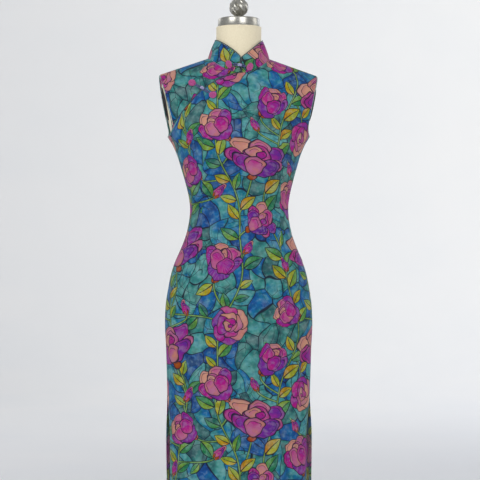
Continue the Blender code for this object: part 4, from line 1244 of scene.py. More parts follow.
def paint_flowers(paint, base, line):
    """Open, cup and loose roses and buds, each in its own frame."""
    own = paint.attribute("flower")
    kind, shift, _ = paint.split(paint.attribute("flower_look"))
    sway = paint.vector("MULTIPLY", paint.sway(own, 1.7, 1.0), (0.4, 0.4, 0.0))
    spot = paint.vector("MULTIPLY", paint.vector("ADD", own, sway), (1.0, 1.0, 0.0))
    state = paint_petals(paint, spot, OPEN_PETALS)
    for at, petals in ((CUP, CUP_PETALS), (LOOSE, LOOSE_PETALS), (BUD, BUD_PETALS)):
        reached = paint.math("GREATER_THAN", kind, at - 0.5)
        state = paint.mix_vector(reached, state, paint_petals(paint, spot, petals))
    tone, left, shade = paint.split(state)
    inside = paint.math("GREATER_THAN", tone, -0.5)
    upper = paint.math("GREATER_THAN", shade, 0.12)
    rolled = paint.math("MULTIPLY", upper, paint.math("LESS_THAN", left, ROLLED_EDGE))
    fold = paint.math("MULTIPLY", upper, paint.math("COMPARE", left, ROLLED_EDGE, 0.011))
    edge = paint.span(left, FLOWER_LINE * 1.2, FLOWER_LINE * 2.0, 1.0, 0.0)
    edge = paint.math("MAXIMUM", edge, paint.math("MULTIPLY", fold, 0.85))
    wash = paint.math("SUBTRACT", paint.noise(own, 3.4, 3.0), 0.5)
    tone = paint.math("ADD", tone, shift)
    tone = paint.math("MULTIPLY_ADD", rolled, -0.13, tone)
    tone = paint.math("MULTIPLY_ADD", shade, 0.13, tone)
    tone = paint.math("MULTIPLY_ADD", wash, 0.34, tone)
    # streaks that run out from the heart
    outward_way = paint.vector("NORMALIZE", own)
    ray = paint.vector("ADD", outward_way, paint.vector("SCALE", own, scale=0.2))
    ray = paint.noise(ray, 13.0, 3.0)
    tone = paint.math("MULTIPLY_ADD", paint.math("SUBTRACT", ray, 0.5), 0.35, tone)
    petal = paint.tint(paint.ramp(tone, FLOWER_STOPS), "#4a1650", left, 0.04, 0.16, 0.26, 0.0)
    petal = paint.tint(petal, "#c3a3b4", ray, 0.47, 0.64, 0.0, 0.3)
    return paint.mix(inside, base, petal), paint.lines_over(inside, edge, line)


print("a petal's line is", 2 * FLOWER_LINE, "of a flower's radius wide")

# %% [markdown]
# ## The printed cloth
#
# The layers go on in a printer's order: ground, stems and leaves, washes and streaks
# over them, and last the flowers. A fine plain weave with a soft sheen lies over
# everything. The wrong side is paler, because the dye doesn't reach through, and its
# colours are also made about three times brighter: painted light that stands in for the
# light which doesn't reach the shaded inside of the slits. An image texture would do
# too, but it would blur close up.

# %% Print materials
WEAVE_SCALE = 5200.0
CLOTH_FINISH = {
    "Roughness": 0.72,
    "Sheen Weight": 0.05,
    "Sheen Roughness": 0.45,
    "Specular IOR Level": 0.25,
}


def print_material(name, pale, strength):
    """The print on one side of the cloth. strength scales its colours; on the wrong side it is also
    painted light.
    """
    paint = Paint(name, CLOTH_FINISH)
    spot = paint.add("UVMap", {}, uv_map="print").outputs[0]
    base, line = paint_ground(paint, spot)
    base, line = paint_stems(paint, base, line)
    base, line = paint_leaves(paint, base, line)
    wash = paint.noise(spot, 36.0, 2.0)
    base = paint.tint(base, "#b4c8c6", wash, 0.46, 0.74, 0.0, 0.3)
    base = paint.tint(base, "#15233f", wash, 0.24, 0.5, 0.46, 0.0)
    streak = paint.noise(spot, 105.0, 3.0)
    base = paint.tint(base, "#b4d4d6", streak, 0.5, 0.68, 0.0, 0.19)
    base = paint.tint(base, "#12284a", streak, 0.32, 0.48, 0.28, 0.0)
    base, line = paint_flowers(paint, base, line)
    grain = paint.noise(spot, 900.0, 2.0)
    base = paint.tint(base, "#dfe6e0", grain, 0.3, 0.7, 0.0, 0.05)
    base = paint.add("HueSaturation", {"Saturation": 1.26, "Color": base}).outputs[0]
    base = paint.vector("SCALE", base, scale=strength)
    base = paint.mix(paint.math("MULTIPLY", line, 0.94), base, colour(LINE))
    base = paint.mix(pale, base, colour("#c8cfd0"))
    across, up, _ = paint.split(paint.vector("SCALE", spot, scale=WEAVE_SCALE))
    weave = paint.math("MULTIPLY", paint.math("SINE", across), paint.math("SINE", up))
    thread = paint.bump(weave, 0.00006, 0.35)
    soft = paint.bump(paint.noise(spot, 55.0, 2.0), 0.0012, 0.35, thread)
    return paint.finish(base, soft)


print_cloth = print_material("printed_cloth", 0.0, 0.74)
# painted light: the wrong side's colours come out about three times as strong as the right side's,
# to lighten the shaded inside of the slits
wrong_side_with_painted_light = print_material("printed_cloth_wrong_side", 0.25, 2.2)
print(len(print_cloth.node_tree.nodes), "nodes paint the cloth")

for cloth, node in (
    (front_cloth, "front_panel"),
    (back_cloth, "back_panel"),
    (flap_cloth, "under_flap"),
    (collar_cloth, "collar"),
):
    cloth.data.materials.append(print_cloth)
    cloth.data.materials.append(wrong_side_with_painted_light)
    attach(cloth, "root")
    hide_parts(node)

# %% [markdown]
# ## Piping
#
# A bias strip, 2 mm thick, is folded round every raw edge: dark at the collar and the
# opening and cut from the print at the armholes. It could be a bevelled curve, but a
# tube made ring by ring carries the distance along it, which its weave needs.

# %% Tubes of cloth and cord
CORD_SIDES = 10
PIPING_SIDES = 12


def circle(middle, right, up, radius, count):
    """Points round a circle in the plane of two directions."""
    angle = np.linspace(0.0, 2 * math.pi, count + 1)[:-1, None]
    return middle + (right * np.cos(angle) + up * np.sin(angle)) * radius


def ring_body(name, rings, closed=False):
    """A body through rings of points: a loop where it is closed, or else capped."""
    count, sides = len(rings), len(rings[0])
    faces = []
    for i in range(count if closed else count - 1):
        low, high, shift = i * sides, (i + 1) % count * sides, 0
        if high == 0:
            # where a loop closes, points meet the ones that lie nearest
            shift = int(np.argmin(np.linalg.norm(rings[0] - rings[-1][0], axis=1)))
        for k in range(sides):
            m = (k + 1) % sides
            up = (high + (m + shift) % sides, high + (k + shift) % sides)
            faces.append((low + k, low + m, *up))
    if not closed:
        faces.append(tuple(range(sides))[::-1])
        faces.append(tuple((count - 1) * sides + k for k in range(sides)))
    mesh = bpy.data.meshes.new(name)
    mesh.from_pydata(np.concatenate(rings).tolist(), [], faces)
    return put_in_scene(name, mesh)


def tube(name, path, radius, closed=False, sides=CORD_SIDES, tone=0.0):
    """A smooth tube along a path. radius may vary."""
    count = len(path)
    radius = np.broadcast_to(radius, (count,))
    ahead = unit(np.gradient(path, axis=0))
    if closed:
        ahead = unit(np.roll(path, -1, axis=0) - np.roll(path, 1, axis=0))
    side = np.cross(ahead[0], (0.0, 0.0, 1.0))
    if np.linalg.norm(side) < 0.2:
        side = np.cross(ahead[0], (0.0, 1.0, 0.0))
    rings = []
    for i, way in enumerate(ahead):
        side = unit(side - way * np.dot(side, way))
        rings.append(circle(path[i], side, np.cross(way, side), radius[i], sides))
    made = ring_body(name, rings, closed)
    layer = made.data.attributes.new("along", "FLOAT_VECTOR", "POINT")
    far = np.repeat(distances(path), sides)
    around = np.tile(np.arange(sides) / sides, count)
    values = np.stack([far, around, np.full(count * sides, tone)], axis=1)
    layer.data.foreach_set("vector", values.reshape(-1))
    made.data.shade_smooth()
    return made


def joined(name, parts):
    bm = bmesh.new()
    for part in parts:
        bm.from_mesh(part.data)
    mesh = bpy.data.meshes.new(name)
    bm.to_mesh(mesh)
    bm.free()
    mesh.shade_smooth()
    for part in parts:
        bpy.data.objects.remove(part)
    return put_in_scene(name, mesh)


print("cords have", CORD_SIDES, "sides and piping has", PIPING_SIDES)

# %% [markdown]
# ### Paths beside the edges
#
# A strip lies against its edge, so each path is the edge's own line, moved outwards by
# the strip's radius and sunk a little into the cloth.

# %% Edge paths


def beside_edge(edge, inside, normal, deep, reach):
    """Points next to an edge, sunk into the thickness of its cloth."""
    ahead = unit(np.gradient(edge, axis=0))
    side = unit(np.cross(ahead, normal))
    side = side * np.sign(np.sum(side * (edge - inside), axis=-1, keepdims=True))
    return edge + side * reach - normal * deep


def edge_normals(point, c, level):
    step = 0.004
    here = point(c, level)
    across = (point(c - np.sign(c) * step, level) - here) * -np.sign(c)[..., None]
    return unit(np.cross(across, here - point(c, level - step)))


def evenly(path, step, closed=False):
    """The same path with points at even distances."""
    if closed:
        path = np.concatenate([path, path[:1]])
    far = distances(path)
    at = np.linspace(0.0, far[-1], int(far[-1] / step) + 1)
    even = np.stack([np.interp(at, far, path[:, k]) for k in range(3)], axis=1)
    return even[:-1] if closed else even


def relaxed(path, rounds, closed):
    for _ in range(rounds):
        middle = (np.roll(path, 1, axis=0) + np.roll(path, -1, axis=0)) / 2
        if not closed:
            middle[0], middle[-1] = path[0], path[-1]
        path = path * 0.5 + middle * 0.5
    return path


# %% Pipe the opening
PIPING_GAP = 0.0006
PIPING_STEP = 0.003
PIPING_REACH = PIPING_RADIUS + PIPING_GAP
opening_c = -np.sin(np.linspace(0.03, math.pi / 2, 120)) ** COLUMN_SPREAD * 0.9995
opening_path = beside_edge(
    front_panel_point(opening_c, 3.0),
    front_panel_point(opening_c, 2.9),
    edge_normals(front_panel_point, opening_c, np.full(opening_c.shape, 3.0)),
    FLAP_SINK - 2 * PIPING_GAP - PIPING_RADIUS,
    PIPING_REACH,
)
opening_path = evenly(opening_path, PIPING_STEP)
opening_piping = tube("piping_of_opening", opening_path, PIPING_RADIUS, sides=PIPING_SIDES)
print("the opening's strip is", round(distances(opening_path)[-1], 3), "m long")

# %% Pipe the armholes
ARMHOLE_PIPING_DEEP = 0.00075


def armhole_path(sign):
    """Round one armhole: up its front edge and down its back edge."""
    level = 1.0 + np.linspace(0.0, 1.0, 70) ** 1.8
    sides = []
    for face in ("front", "back"):
        c = np.full(level.shape, float(sign))
        edge = garment_point(face, c, level)
        inside = garment_point(face, c * 0.94, np.maximum(level - 0.06, 0.9))
        normal = edge_normals(lambda a, b: garment_point(face, a, b), c, level)
        normal = -normal if face == "back" else normal
        sides.append(beside_edge(edge, inside, normal, ARMHOLE_PIPING_DEEP, PIPING_REACH))
    ahead, behind = sides
    underarm = (ahead[0] + behind[0]) / 2
    tip = (ahead[-1] + behind[-1]) / 2
    return np.concatenate([[underarm], ahead[2:-1], [tip], behind[-2:1:-1]])


armhole_pipings = []
for name, sign in (("left", 1), ("right", -1)):
    path = relaxed(evenly(armhole_path(sign), PIPING_STEP, closed=True), 2, closed=True)
    name = f"piping_of_{name}_armhole"
    armhole_pipings.append(tube(name, path, PIPING_RADIUS, True, PIPING_SIDES, 1.0))
    print(name, "is", round(distances(path)[-1], 3), "m long")

# %% Pipe the collar
CLIMB_POINTS = 12
piping_turns = collar_turns(72)
middle = -COLLAR_CLOTH / 2
climb = np.linspace(0.03, 0.96, CLIMB_POINTS)
first = collar_point(np.full(CLIMB_POINTS, piping_turns[0]), climb, middle)
last = collar_point(np.full(CLIMB_POINTS, piping_turns[-1]), climb[::-1], middle)
top = collar_point(piping_turns, np.ones(len(piping_turns)), middle)
collar_path = np.concatenate([first, top, last])
collar_ahead = unit(np.gradient(collar_path, axis=0))
collar_away = unit(collar_path * np.array([1.0, 1.0, 0.0]))
collar_side = unit(np.cross(collar_ahead, collar_away))
collar_path = collar_path - collar_side * (PIPING_RADIUS + CLEAR)
collar_path = relaxed(evenly(collar_path, 0.0025), 2, closed=False)
collar_piping = tube("piping_of_collar", collar_path, PIPING_RADIUS, sides=PIPING_SIDES)
print("the collar's strip is", round(distances(collar_path)[-1], 3), "m long")

# %% [markdown]
# ### The strips' cloth
#
# The dark strips have a fine twill that winds round them, and the armholes' show small
# bits of the print. One material reads from each strip which it is.

# %% Piping cloth
PIPING_STOPS = (
    (0.3, "#1d4a58"), (0.42, "#4d8a8c"), (0.5, "#a3b7ad"),
    (0.58, "#5d9096"), (0.66, "#8a3f7c"),
)
TWILL_TURNS, TWILL_SLANT = 7000.0, 0.0009
dark = Paint("piping_cloth", {"Roughness": 0.55, "Sheen Weight": 0.15})
far, around, self_cloth = dark.split(dark.attribute("along"))
slant = dark.math("MULTIPLY_ADD", around, TWILL_SLANT, far)
twill = dark.math("SINE", dark.math("MULTIPLY", slant, TWILL_TURNS))
tone = dark.noise(dark.place(), 160.0, 2.0)
piping_base = dark.mix(tone, colour("#173039"), colour("#2b4d56"))
print_bits = dark.ramp(dark.noise(dark.place(), 45.0, 2.0), PIPING_STOPS)
piping_base = dark.mix(self_cloth, piping_base, print_bits)
dark.finish(piping_base, dark.bump(twill, 0.00006, 0.5))
for piece, node in (
    (opening_piping, "opening_piping"),
    (armhole_pipings[0], "armhole_piping_left"),
    (armhole_pipings[1], "armhole_piping_right"),
    (collar_piping, "collar_piping"),
):
    piece.data.materials.append(dark.material)
    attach(piece, "root")
    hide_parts(node)
print("piping", [len(p.data.vertices) for p in (opening_piping, collar_piping)])

# %% [markdown]
# ## The frogs
#
# A frog is a pair of flat coils of satin cord, joined by a ball knot pushed through a
# loop. Plain discs and balls would look cast, so each coil is one cord wound from the
# middle out, and each ball is one cord that weaves round itself.

# %% Frames on the dress for the frogs
COIL_RADIUS, COIL_CORD, COIL_CLEAR = 0.01, 0.0015, 0.0009
CORD_RADIUS, KNOT_RADIUS = 0.0013, 0.0046
ROUND_THE_NECK = 2 * math.pi * (COLLAR_TOP_HALF_WIDTH + SIDE_NECK[0]) / 2
# metres round the collar and share of its height, for the right and the left coil
NECK_FROG = ((-0.027, 0.27), (0.019, 0.22))
# x, z and how deep the cloth lies under the garment's surface
OPENING_FROG = ((-0.1158, 1.3169, 0.0016), (-0.0694, 1.2871, 0.0))


def surface_frame(at):
    """The middle, two directions in the surface and the normal, from a function."""
    step = 0.002
    right = unit(at(step, 0.0) - at(-step, 0.0))
    up = unit(at(0.0, step) - at(0.0, -step))
    return at(0.0, 0.0), right, up, unit(np.cross(right, up))


def chest_frame(x, z, sink):
    def at(right, up):
        spot = (np.array(x + right), np.array(z + up))
        return np.array([x + right, float(surface_y("front", *spot)) + sink, z + up])

    return surface_frame(at)


def collar_frame(round_it, share):
    tall = COLLAR_TOP_Z["front"] - NECK_Z["front"]

    def at(right, up):
        turn = ((round_it + right) / ROUND_THE_NECK) % 1.0
        return collar_point(np.array(turn), np.array(share + up / tall))

    return surface_frame(at)


neck_frames = [collar_frame(*spot) for spot in NECK_FROG]
opening_frames = [chest_frame(*spot) for spot in OPENING_FROG]
print("coils lie at", [frame_at[0].round(3).tolist() for frame_at in opening_frames])

# %% Wind a coil
# The disc under a coil's cord: share of its radius, height in cord radii
COIL_DISC = ((0.99, 0.35), (0.97, 0.9), (0.6, 1.5), (0.02, 1.8))
COIL_DOME = 0.001


def coil(name, frame_at, start):
    """A flat round coil of cord, a little domed."""
    middle, right, up, normal = frame_at
    turns = (COIL_RADIUS - COIL_CORD) / (2 * COIL_CORD)
    t = np.linspace(0.12, turns, 110)
    r = t * 2 * COIL_CORD
    angle = t * 2 * math.pi + start
    dome = COIL_CLEAR + COIL_CORD + COIL_DOME * (1 - (r / COIL_RADIUS) ** 2)
    path = middle + (right * np.cos(angle)[:, None] + up * np.sin(angle)[:, None]) * r[:, None]
    path = path + normal * dome[:, None]
    thick = np.full(len(t), COIL_CORD * 1.04)
    thick[-4:] *= np.array((0.95, 0.85, 0.7, 0.5))
    wound = tube(name + "_cord", path, thick)
    disc = []
    for share, height in COIL_DISC:
        centre = middle + normal * (COIL_CLEAR + COIL_CORD * height)
        disc.append(circle(centre, right, up, (COIL_RADIUS - COIL_CORD) * share, 32))
    return joined(name, (wound, ring_body(name + "_disc", disc)))


print("a coil has", round((COIL_RADIUS - COIL_CORD) / (2 * COIL_CORD), 1), "turns of cord")

# %% Tie a knot
KNOT_CORD = 0.00125
KNOT_CORE = KNOT_RADIUS - 0.0016


def knot(name, first, second, lift_over):
    """Two cords from coil to coil and the woven ball between them."""
    a, _, _, normal_a = first
    b, _, _, normal_b = second
    ahead = unit(b - a)
    normal = unit(normal_a + normal_b)
    across = unit(np.cross(normal, ahead))
    normal = unit(np.cross(ahead, across))
    start = a + ahead * (COIL_RADIUS - 0.0004)
    end = b - ahead * (COIL_RADIUS - 0.0004)
    t = np.linspace(0.0, 1.0, 40)
    parts = []
    lift = 0.0018 + CORD_RADIUS + lift_over * np.sin(math.pi * t)
    for side in (-1, 1):
        spread = side * (0.0012 + 0.0012 * np.sin(math.pi * t))
        path = start + (end - start) * t[:, None] + normal * lift[:, None]
        path = path + across * spread[:, None]
        parts.append(tube(f"{name}_{side}", path, CORD_RADIUS))
    heart = (start + end) / 2 + normal * (lift[20] + 0.0012)
    s = np.linspace(0.0, 2 * math.pi, 221)[:-1]
    weave = 0.62 * np.sin(4 * s)
    around = 3 * s
    ball = KNOT_RADIUS - CORD_RADIUS * 0.75 + 0.0005 * np.cos(8 * s + 0.8)
    local = np.stack(
        [np.cos(weave) * np.cos(around), np.sin(weave) * 1.15, np.cos(weave) * np.sin(around)],
        axis=1,
    )
    axes = np.stack([ahead, across, normal])
    woven = heart + local @ axes * ball[:, None]
    parts.append(tube(name + "_ball", woven, KNOT_CORD, closed=True, tone=1.0))
    core = []
    for turn in np.linspace(-1.4, 1.4, 12):
        centre = heart + across * KNOT_CORE * math.sin(turn)
        core.append(circle(centre, ahead, normal, KNOT_CORE * math.cos(turn), 16))
    parts.append(ring_body(name + "_core", core))
    return joined(name, parts)


print("a knot is", round(2000 * KNOT_RADIUS, 1), "mm thick")

# %% [markdown]
# ### Satin cord
#
# Satin cord is twisted, so its plies wind round it and catch the light one by one. A sine
# of the distance along the cord and round it draws them, as a bump and as painted
# highlights: each ply is coloured lighter where it would catch the light. The balls are
# mixed towards a pale pearly lilac, partly their own colour and partly a painted sheen.

# %% Make the frogs
PLY_TURNS = 4200.0


def cord_material(name, deep, ply_highlight, roughness):
    satin = {"Sheen Weight": 0.3, "Coat Weight": 0.25, "Coat Roughness": 0.25}
    paint = Paint(name, {"Roughness": roughness, **satin})
    far, around, ball_sheen_share = paint.split(paint.attribute("along"))
    ply = paint.math("MULTIPLY", far, PLY_TURNS)
    ply = paint.math("MULTIPLY_ADD", around, 2 * math.pi, ply)
    wave = paint.math("SINE", ply)
    # painted highlight: along the sine each ply turns from the deep colour to the lighter one,
    # where a real ply would catch the light
    base = paint.mix(paint.span(wave, -1.0, 1.0), colour(deep), colour(ply_highlight))
    blot = paint.noise(paint.place(), 260.0, 2.0)
    base = paint.tint(base, deep, blot, 0.35, 0.75, 0.0, 0.4)
    # painted sheen: the balls are mixed towards pale lilac, a pearly colour of their own that also
    # stands in for their shine
    base = paint.mix(paint.math("MULTIPLY", ball_sheen_share, 0.7), base, colour("#b7b2d8"))
    return paint.finish(base, paint.bump(wave, 0.00012, 0.6))


coil_cord = cord_material("magenta_satin_cord", "#8f2468", "#c9489a", 0.36)
knot_cord = cord_material("violet_satin_cord", "#1f2256", "#5a5f9c", 0.18)
frogs = (
    (coil("neck_coil_right", neck_frames[0], 0.3), "neck_frog_coil_right", coil_cord),
    (coil("neck_coil_left", neck_frames[1], 2.8), "neck_frog_coil_left", coil_cord),
    (coil("opening_coil_right", opening_frames[0], 5.4), "opening_frog_coil_right", coil_cord),
    (coil("opening_coil_left", opening_frames[1], 2.3), "opening_frog_coil_left", coil_cord),
    (knot("neck_knot", *neck_frames, 0.005), "neck_frog_knot", knot_cord),
    (knot("opening_knot", *opening_frames, 0.0022), "opening_frog_knot", knot_cord),
)
for piece, node, finish in frogs:
    piece.data.materials.append(finish)
    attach(piece, "root")
    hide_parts(node)
    "coil_fabric" if "coil" in node else "knot_fabric"
print([(piece.name, len(piece.data.vertices)) for piece, _, _ in frogs])

# %% [markdown]
# ## The covered form
#
# The dress form is a hard shell covered with cream linen. It follows the dress 8.5 mm
# inside it and carries it at the shoulders alone. It is stacked from level rings of the
# garment's own surface, so it can't poke through the cloth. The neck is a second body
# joined on, and the arms are cut off flat.

# %% Make the form
FORM_BOTTOM_Z = 0.76
FORM_INSET = 0.0085
FORM_RIDGE_DROP = 0.002
NECK_TOP_Z = 1.459
NECK_RADII = (0.0545, 0.052)
NECK_Y = 0.006
ARM_END_Z = 1.272
ARM_END_X = 0.177
ARM_END_SLOPE = 0.2
ARM_TOP_HALF_WIDTH = 0.186


def form_ring(z, count):
    """A level ring, from the wearer's right round the front."""
    ridge_x = SIDE_NECK[0] + (SIDE_NECK[1] - FORM_RIDGE_DROP - z) / SHOULDER_SLOPE
    wide = float(section("half_width", z)) - FORM_INSET
    arm_x = min(ARM_END_X + ARM_END_SLOPE * (z - ARM_END_Z), ARM_TOP_HALF_WIDTH)
    reach = min(wide, ridge_x, arm_x)
    side_y = float(section("side_y", z))
    ring = []
    for face, sign in (("front", -1.0), ("back", 1.0)):
        turns = np.linspace(0.0, math.pi, count + 1)[:-1]
        x = sign * np.cos(turns) * np.abs(np.cos(turns)) ** (COLUMN_SPREAD - 1) * reach
        deep = depth_of(face, x, np.full(x.shape, z), FORM_INSET, wide, FORM_RIDGE_DROP)
        deep = np.maximum(deep, 0.0)
        ring.append(np.stack([x, side_y + sign * deep, np.full(x.shape, z)], axis=1))
    return np.concatenate(ring)


def alone(piece):
    """Make one object the only selected one, and the active one."""
    bpy.ops.object.select_all(action="DESELECT")
    piece.select_set(True)
    bpy.context.view_layer.objects.active = piece


# height and swell of the neck's rings
NECK_RINGS = ((1.33, 1.02), (1.375, 1.02), (1.4, 1.004), (1.41, 1.0), (NECK_TOP_Z, 1.0))
form_heights = np.concatenate([np.linspace(FORM_BOTTOM_Z, 1.3, 84), np.linspace(1.306, 1.3745, 26)])
covered_form = ring_body("covered_form", [form_ring(float(z), 64) for z in form_heights])
neck_ahead = np.array((0.0, -NECK_RADII[1], 0.0))
neck_side = np.array((NECK_RADII[0], 0.0, 0.0))
neck_rings = []
for z, swell in NECK_RINGS:
    neck_rings.append(circle(np.array((0.0, NECK_Y, z)), neck_ahead, neck_side, swell, 96))
neck = ring_body("neck_of_form", neck_rings)
union = covered_form.modifiers.new("neck", "BOOLEAN")
union.operation = "UNION"
union.object = neck
alone(covered_form)
bpy.ops.object.modifier_apply(modifier="neck")
bpy.data.objects.remove(neck)
covered_form.data.shade_smooth()
covered_form.data.set_sharp_from_angle(angle=math.radians(38))
print("form", len(covered_form.data.polygons), "faces")

# %% [markdown]
# ### Linen
#
# A noise stretched level and one stretched upright give this plain weave its two sets of
# uneven threads, and where both are low a gap is dark.

# %% Linen for the form
THREAD, ACROSS_THREAD = 160.0, 1900.0  # noise cells in a metre, along and across a thread
linen = Paint("cream_linen", {"Roughness": 0.86, "Sheen Weight": 0.12})
spot = linen.place()
threads = []
for stretch in ((THREAD, THREAD, ACROSS_THREAD), (ACROSS_THREAD, ACROSS_THREAD, THREAD)):
    threads.append(linen.noise(linen.vector("MULTIPLY", spot, stretch), 1.0, 1.0))
weave = linen.math("ADD", *threads)
base = linen.mix(linen.noise(spot, 9.0, 3.0), colour("#f1e7cc"), colour("#e8dbbb"))
base = linen.tint(base, "#c9b88f", weave, 0.75, 1.25, 0.3, 0.0)
linen.finish(base, linen.bump(weave, 0.00022, 0.8))
covered_form.data.materials.append(linen.material)
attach(covered_form, "root")
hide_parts("form_torso")
print("linen on", len(linen.tree.nodes), "nodes")

# %% [markdown]
# ## Arm plates
#
# Moulded black ovals close the arm ends. Each starts as a short round bar lying along
# X, is squeezed to an oval, gets a rounded rim and, by insets, a shallow dish with a
# screw in its middle, and is tilted to lie flat on the cut.

# %% Helpers for hard pieces
FLAT = 0.9999  # a normal's share along an axis, from which a face counts as square to it


def select_everything():
    bpy.ops.mesh.select_all(action="SELECT")


def only(piece, kind, test):
    """In edit mode, select only the faces, edges or points that pass the test."""
    bm = bmesh.from_edit_mesh(piece.data)
    bpy.ops.mesh.select_mode(type=kind)
    bpy.ops.mesh.select_all(action="DESELECT")
    for part in {"VERT": bm.verts, "EDGE": bm.edges, "FACE": bm.faces}[kind]:
        part.select_set(bool(test(part)))
    bmesh.update_edit_mesh(piece.data)


def faces_where(piece, test):
    only(piece, "FACE", lambda face: test(face.calc_center_median(), face.normal))


def edges_where(piece, test):
    only(piece, "EDGE", lambda edge: test(edge.verts[0].co, edge.verts[1].co))


def rounded(offset, segments):
    bpy.ops.mesh.bevel(offset=offset, segments=segments, affect="EDGES")


def stepped(insets):
    """Inset the selected face again and again: thickness and depth of each step."""
    for thickness, depth in insets:
        bpy.ops.mesh.inset(thickness=thickness, depth=depth)


def named_start(name):
    """Name the new primitive, fix its points in place and go to edit mode."""
    made = bpy.context.object
    made.name = name
    bpy.ops.object.transform_apply(location=True, rotation=True, scale=True)
    bpy.ops.object.mode_set(mode="EDIT")
    return made


def turned_bar(name, radius, low, high, y=0.0, sides=64):
    """A round upright bar, its points in place and its origin at zero."""
    bpy.ops.mesh.primitive_cylinder_add(
        vertices=sides, radius=radius, depth=high - low, location=(0.0, y, (low + high) / 2)
    )
    return named_start(name)


def done_with(piece, angle=30):
    """Leave edit mode and shade smooth, but for edges sharper than the angle."""
    bpy.ops.object.mode_set(mode="OBJECT")
    alone(piece)
    bpy.ops.object.shade_smooth_by_angle(angle=math.radians(angle))
    print(piece.name, "has", len(piece.data.polygons), "faces")


# %% Make the arm plates
PLATE_HALF_HEIGHT, PLATE_HALF_WIDTH, PLATE_THICKNESS = 0.04, 0.026, 0.003
PLATE_Y = 0.006
# a flat rim, the step down to the dish, the dish, and the screw's edge and head
PLATE_STEPS = (
    (0.004, 0.0), (0.0012, -0.0008), (0.0145, 0.0), (0.0003, 0.0009), (0.0007, 0.0003),
)
bpy.ops.mesh.primitive_cylinder_add(
    vertices=72, radius=1.0, depth=PLATE_THICKNESS, rotation=(0.0, math.pi / 2, 0.0)
)
arm_plate = named_start("arm_plate_of_wearers_left")
select_everything()
bpy.ops.transform.resize(value=(1.0, PLATE_HALF_WIDTH, PLATE_HALF_HEIGHT))
edges_where(arm_plate, lambda a, b: a.x > 0.001 and b.x > 0.001)
rounded(0.0012, 3)
faces_where(arm_plate, lambda middle, normal: normal.x > FLAT and middle.x > 0.001)
stepped(PLATE_STEPS)
select_everything()
bpy.ops.transform.rotate(
    value=-math.atan(ARM_END_SLOPE), orient_axis="Y", center_override=(0.0, 0.0, 0.0)
)
lean_x = ARM_END_X + 2 * CLEAR + PLATE_THICKNESS / 2
bpy.ops.transform.translate(value=(lean_x, PLATE_Y, ARM_END_Z))
done_with(arm_plate)

# %% [markdown]
# ### Plastic, and the other plate
#
# The second plate is a copy with its own mesh, mirrored in edit mode, after which its
# normals are turned out again.

# %% Plate finish and the mirrored plate
plastic = Paint("moulded_black_plastic", {"Roughness": 0.42})
grain = plastic.noise(plastic.place(), 900.0, 2.0)
speck = plastic.noise(plastic.place(), 60.0, 2.0)
plastic_base = plastic.mix(speck, colour("#0c0c0d"), colour("#1b1b1d"))
plastic.finish(plastic_base, plastic.bump(grain, 0.0001, 0.4))
arm_plate.data.materials.append(plastic.material)
other_plate = arm_plate.copy()
other_plate.data = arm_plate.data.copy()
other_plate.name = "arm_plate_of_wearers_right"
bpy.context.scene.collection.objects.link(other_plate)
alone(other_plate)
bpy.ops.object.mode_set(mode="EDIT")
select_everything()
bpy.ops.transform.mirror(
    orient_type="GLOBAL", constraint_axis=(True, False, False), center_override=(0.0, 0.0, 0.0)
)
bpy.ops.mesh.normals_make_consistent(inside=False)
done_with(other_plate)
for piece, node in ((arm_plate, "arm_plate_left"), (other_plate, "arm_plate_right")):
    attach(piece, "root")
    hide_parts(node)
print("plates reach", [round(p.bound_box[0][0], 3) for p in (arm_plate, other_plate)])

# %% [markdown]
# ## The neck cap
#
# A spun steel cap closes the neck: a short drum with a rolled upper edge, a fine step
# near its rim and a raised middle that carries the finial. A profile could be spun, but
# a bar with bevels and insets needs fewer numbers.

# %% Make the cap
CAP_RADIUS, CAP_HEIGHT, CAP_DRAFT = 0.051, 0.021, 0.981
NEAR = 0.0001  # points this close to a level count as lying on it
# a flat rim, a fine step down, the top, and the raised middle
CAP_STEPS = ((0.0045, 0.0), (0.0005, -0.0007), (0.024, 0.0), (0.0015, 0.0006))
cap_low = NECK_TOP_Z + CLEAR
cap_top = cap_low + CAP_HEIGHT
neck_cap = turned_bar("steel_neck_cap", CAP_RADIUS, cap_low, cap_top, NECK_Y, 96)
faces_where(neck_cap, lambda middle, normal: normal.z > FLAT)
bpy.ops.transform.resize(
    value=(CAP_DRAFT, CAP_DRAFT, 1.0), center_override=(0.0, NECK_Y, cap_top)
)
edges_where(neck_cap, lambda a, b: min(a.z, b.z) > cap_top - NEAR)
rounded(0.003, 6)
edges_where(neck_cap, lambda a, b: max(a.z, b.z) < cap_low + NEAR)
rounded(0.0006, 2)
faces_where(neck_cap, lambda middle, normal: normal.z > FLAT and middle.z > cap_top - 2 * NEAR)
stepped(CAP_STEPS)
done_with(neck_cap, 25)
print("cap top at", round(max(v.co.z for v in neck_cap.data.vertices), 4))

# %% [markdown]
# ## The finial
#
# A cast bud with eight twisted flutes on a short stem. A circle with eight lobes is
# extruded ring by ring: each is raised, turned a little and sized to the bud's outline.
# A turned solid couldn't have flutes.

# %% Make the finial
# radius, height above the cap, for each ring
FINIAL_RINGS = (
    (0.0085, 0.0), (0.0085, 0.0018), (0.0056, 0.0034), (0.0074, 0.0048),
    (0.0118, 0.0072), (0.016, 0.0102), (0.0194, 0.014), (0.0218, 0.0184),
    (0.0231, 0.0232), (0.0234, 0.0282), (0.0224, 0.0332), (0.0203, 0.0378),
    (0.0172, 0.0418), (0.0134, 0.0452), (0.0094, 0.048), (0.0056, 0.0502),
    (0.0022, 0.052),
)
FLUTES, POINTS_A_FLUTE, FINIAL_TWIST = 8, 12, 1.9
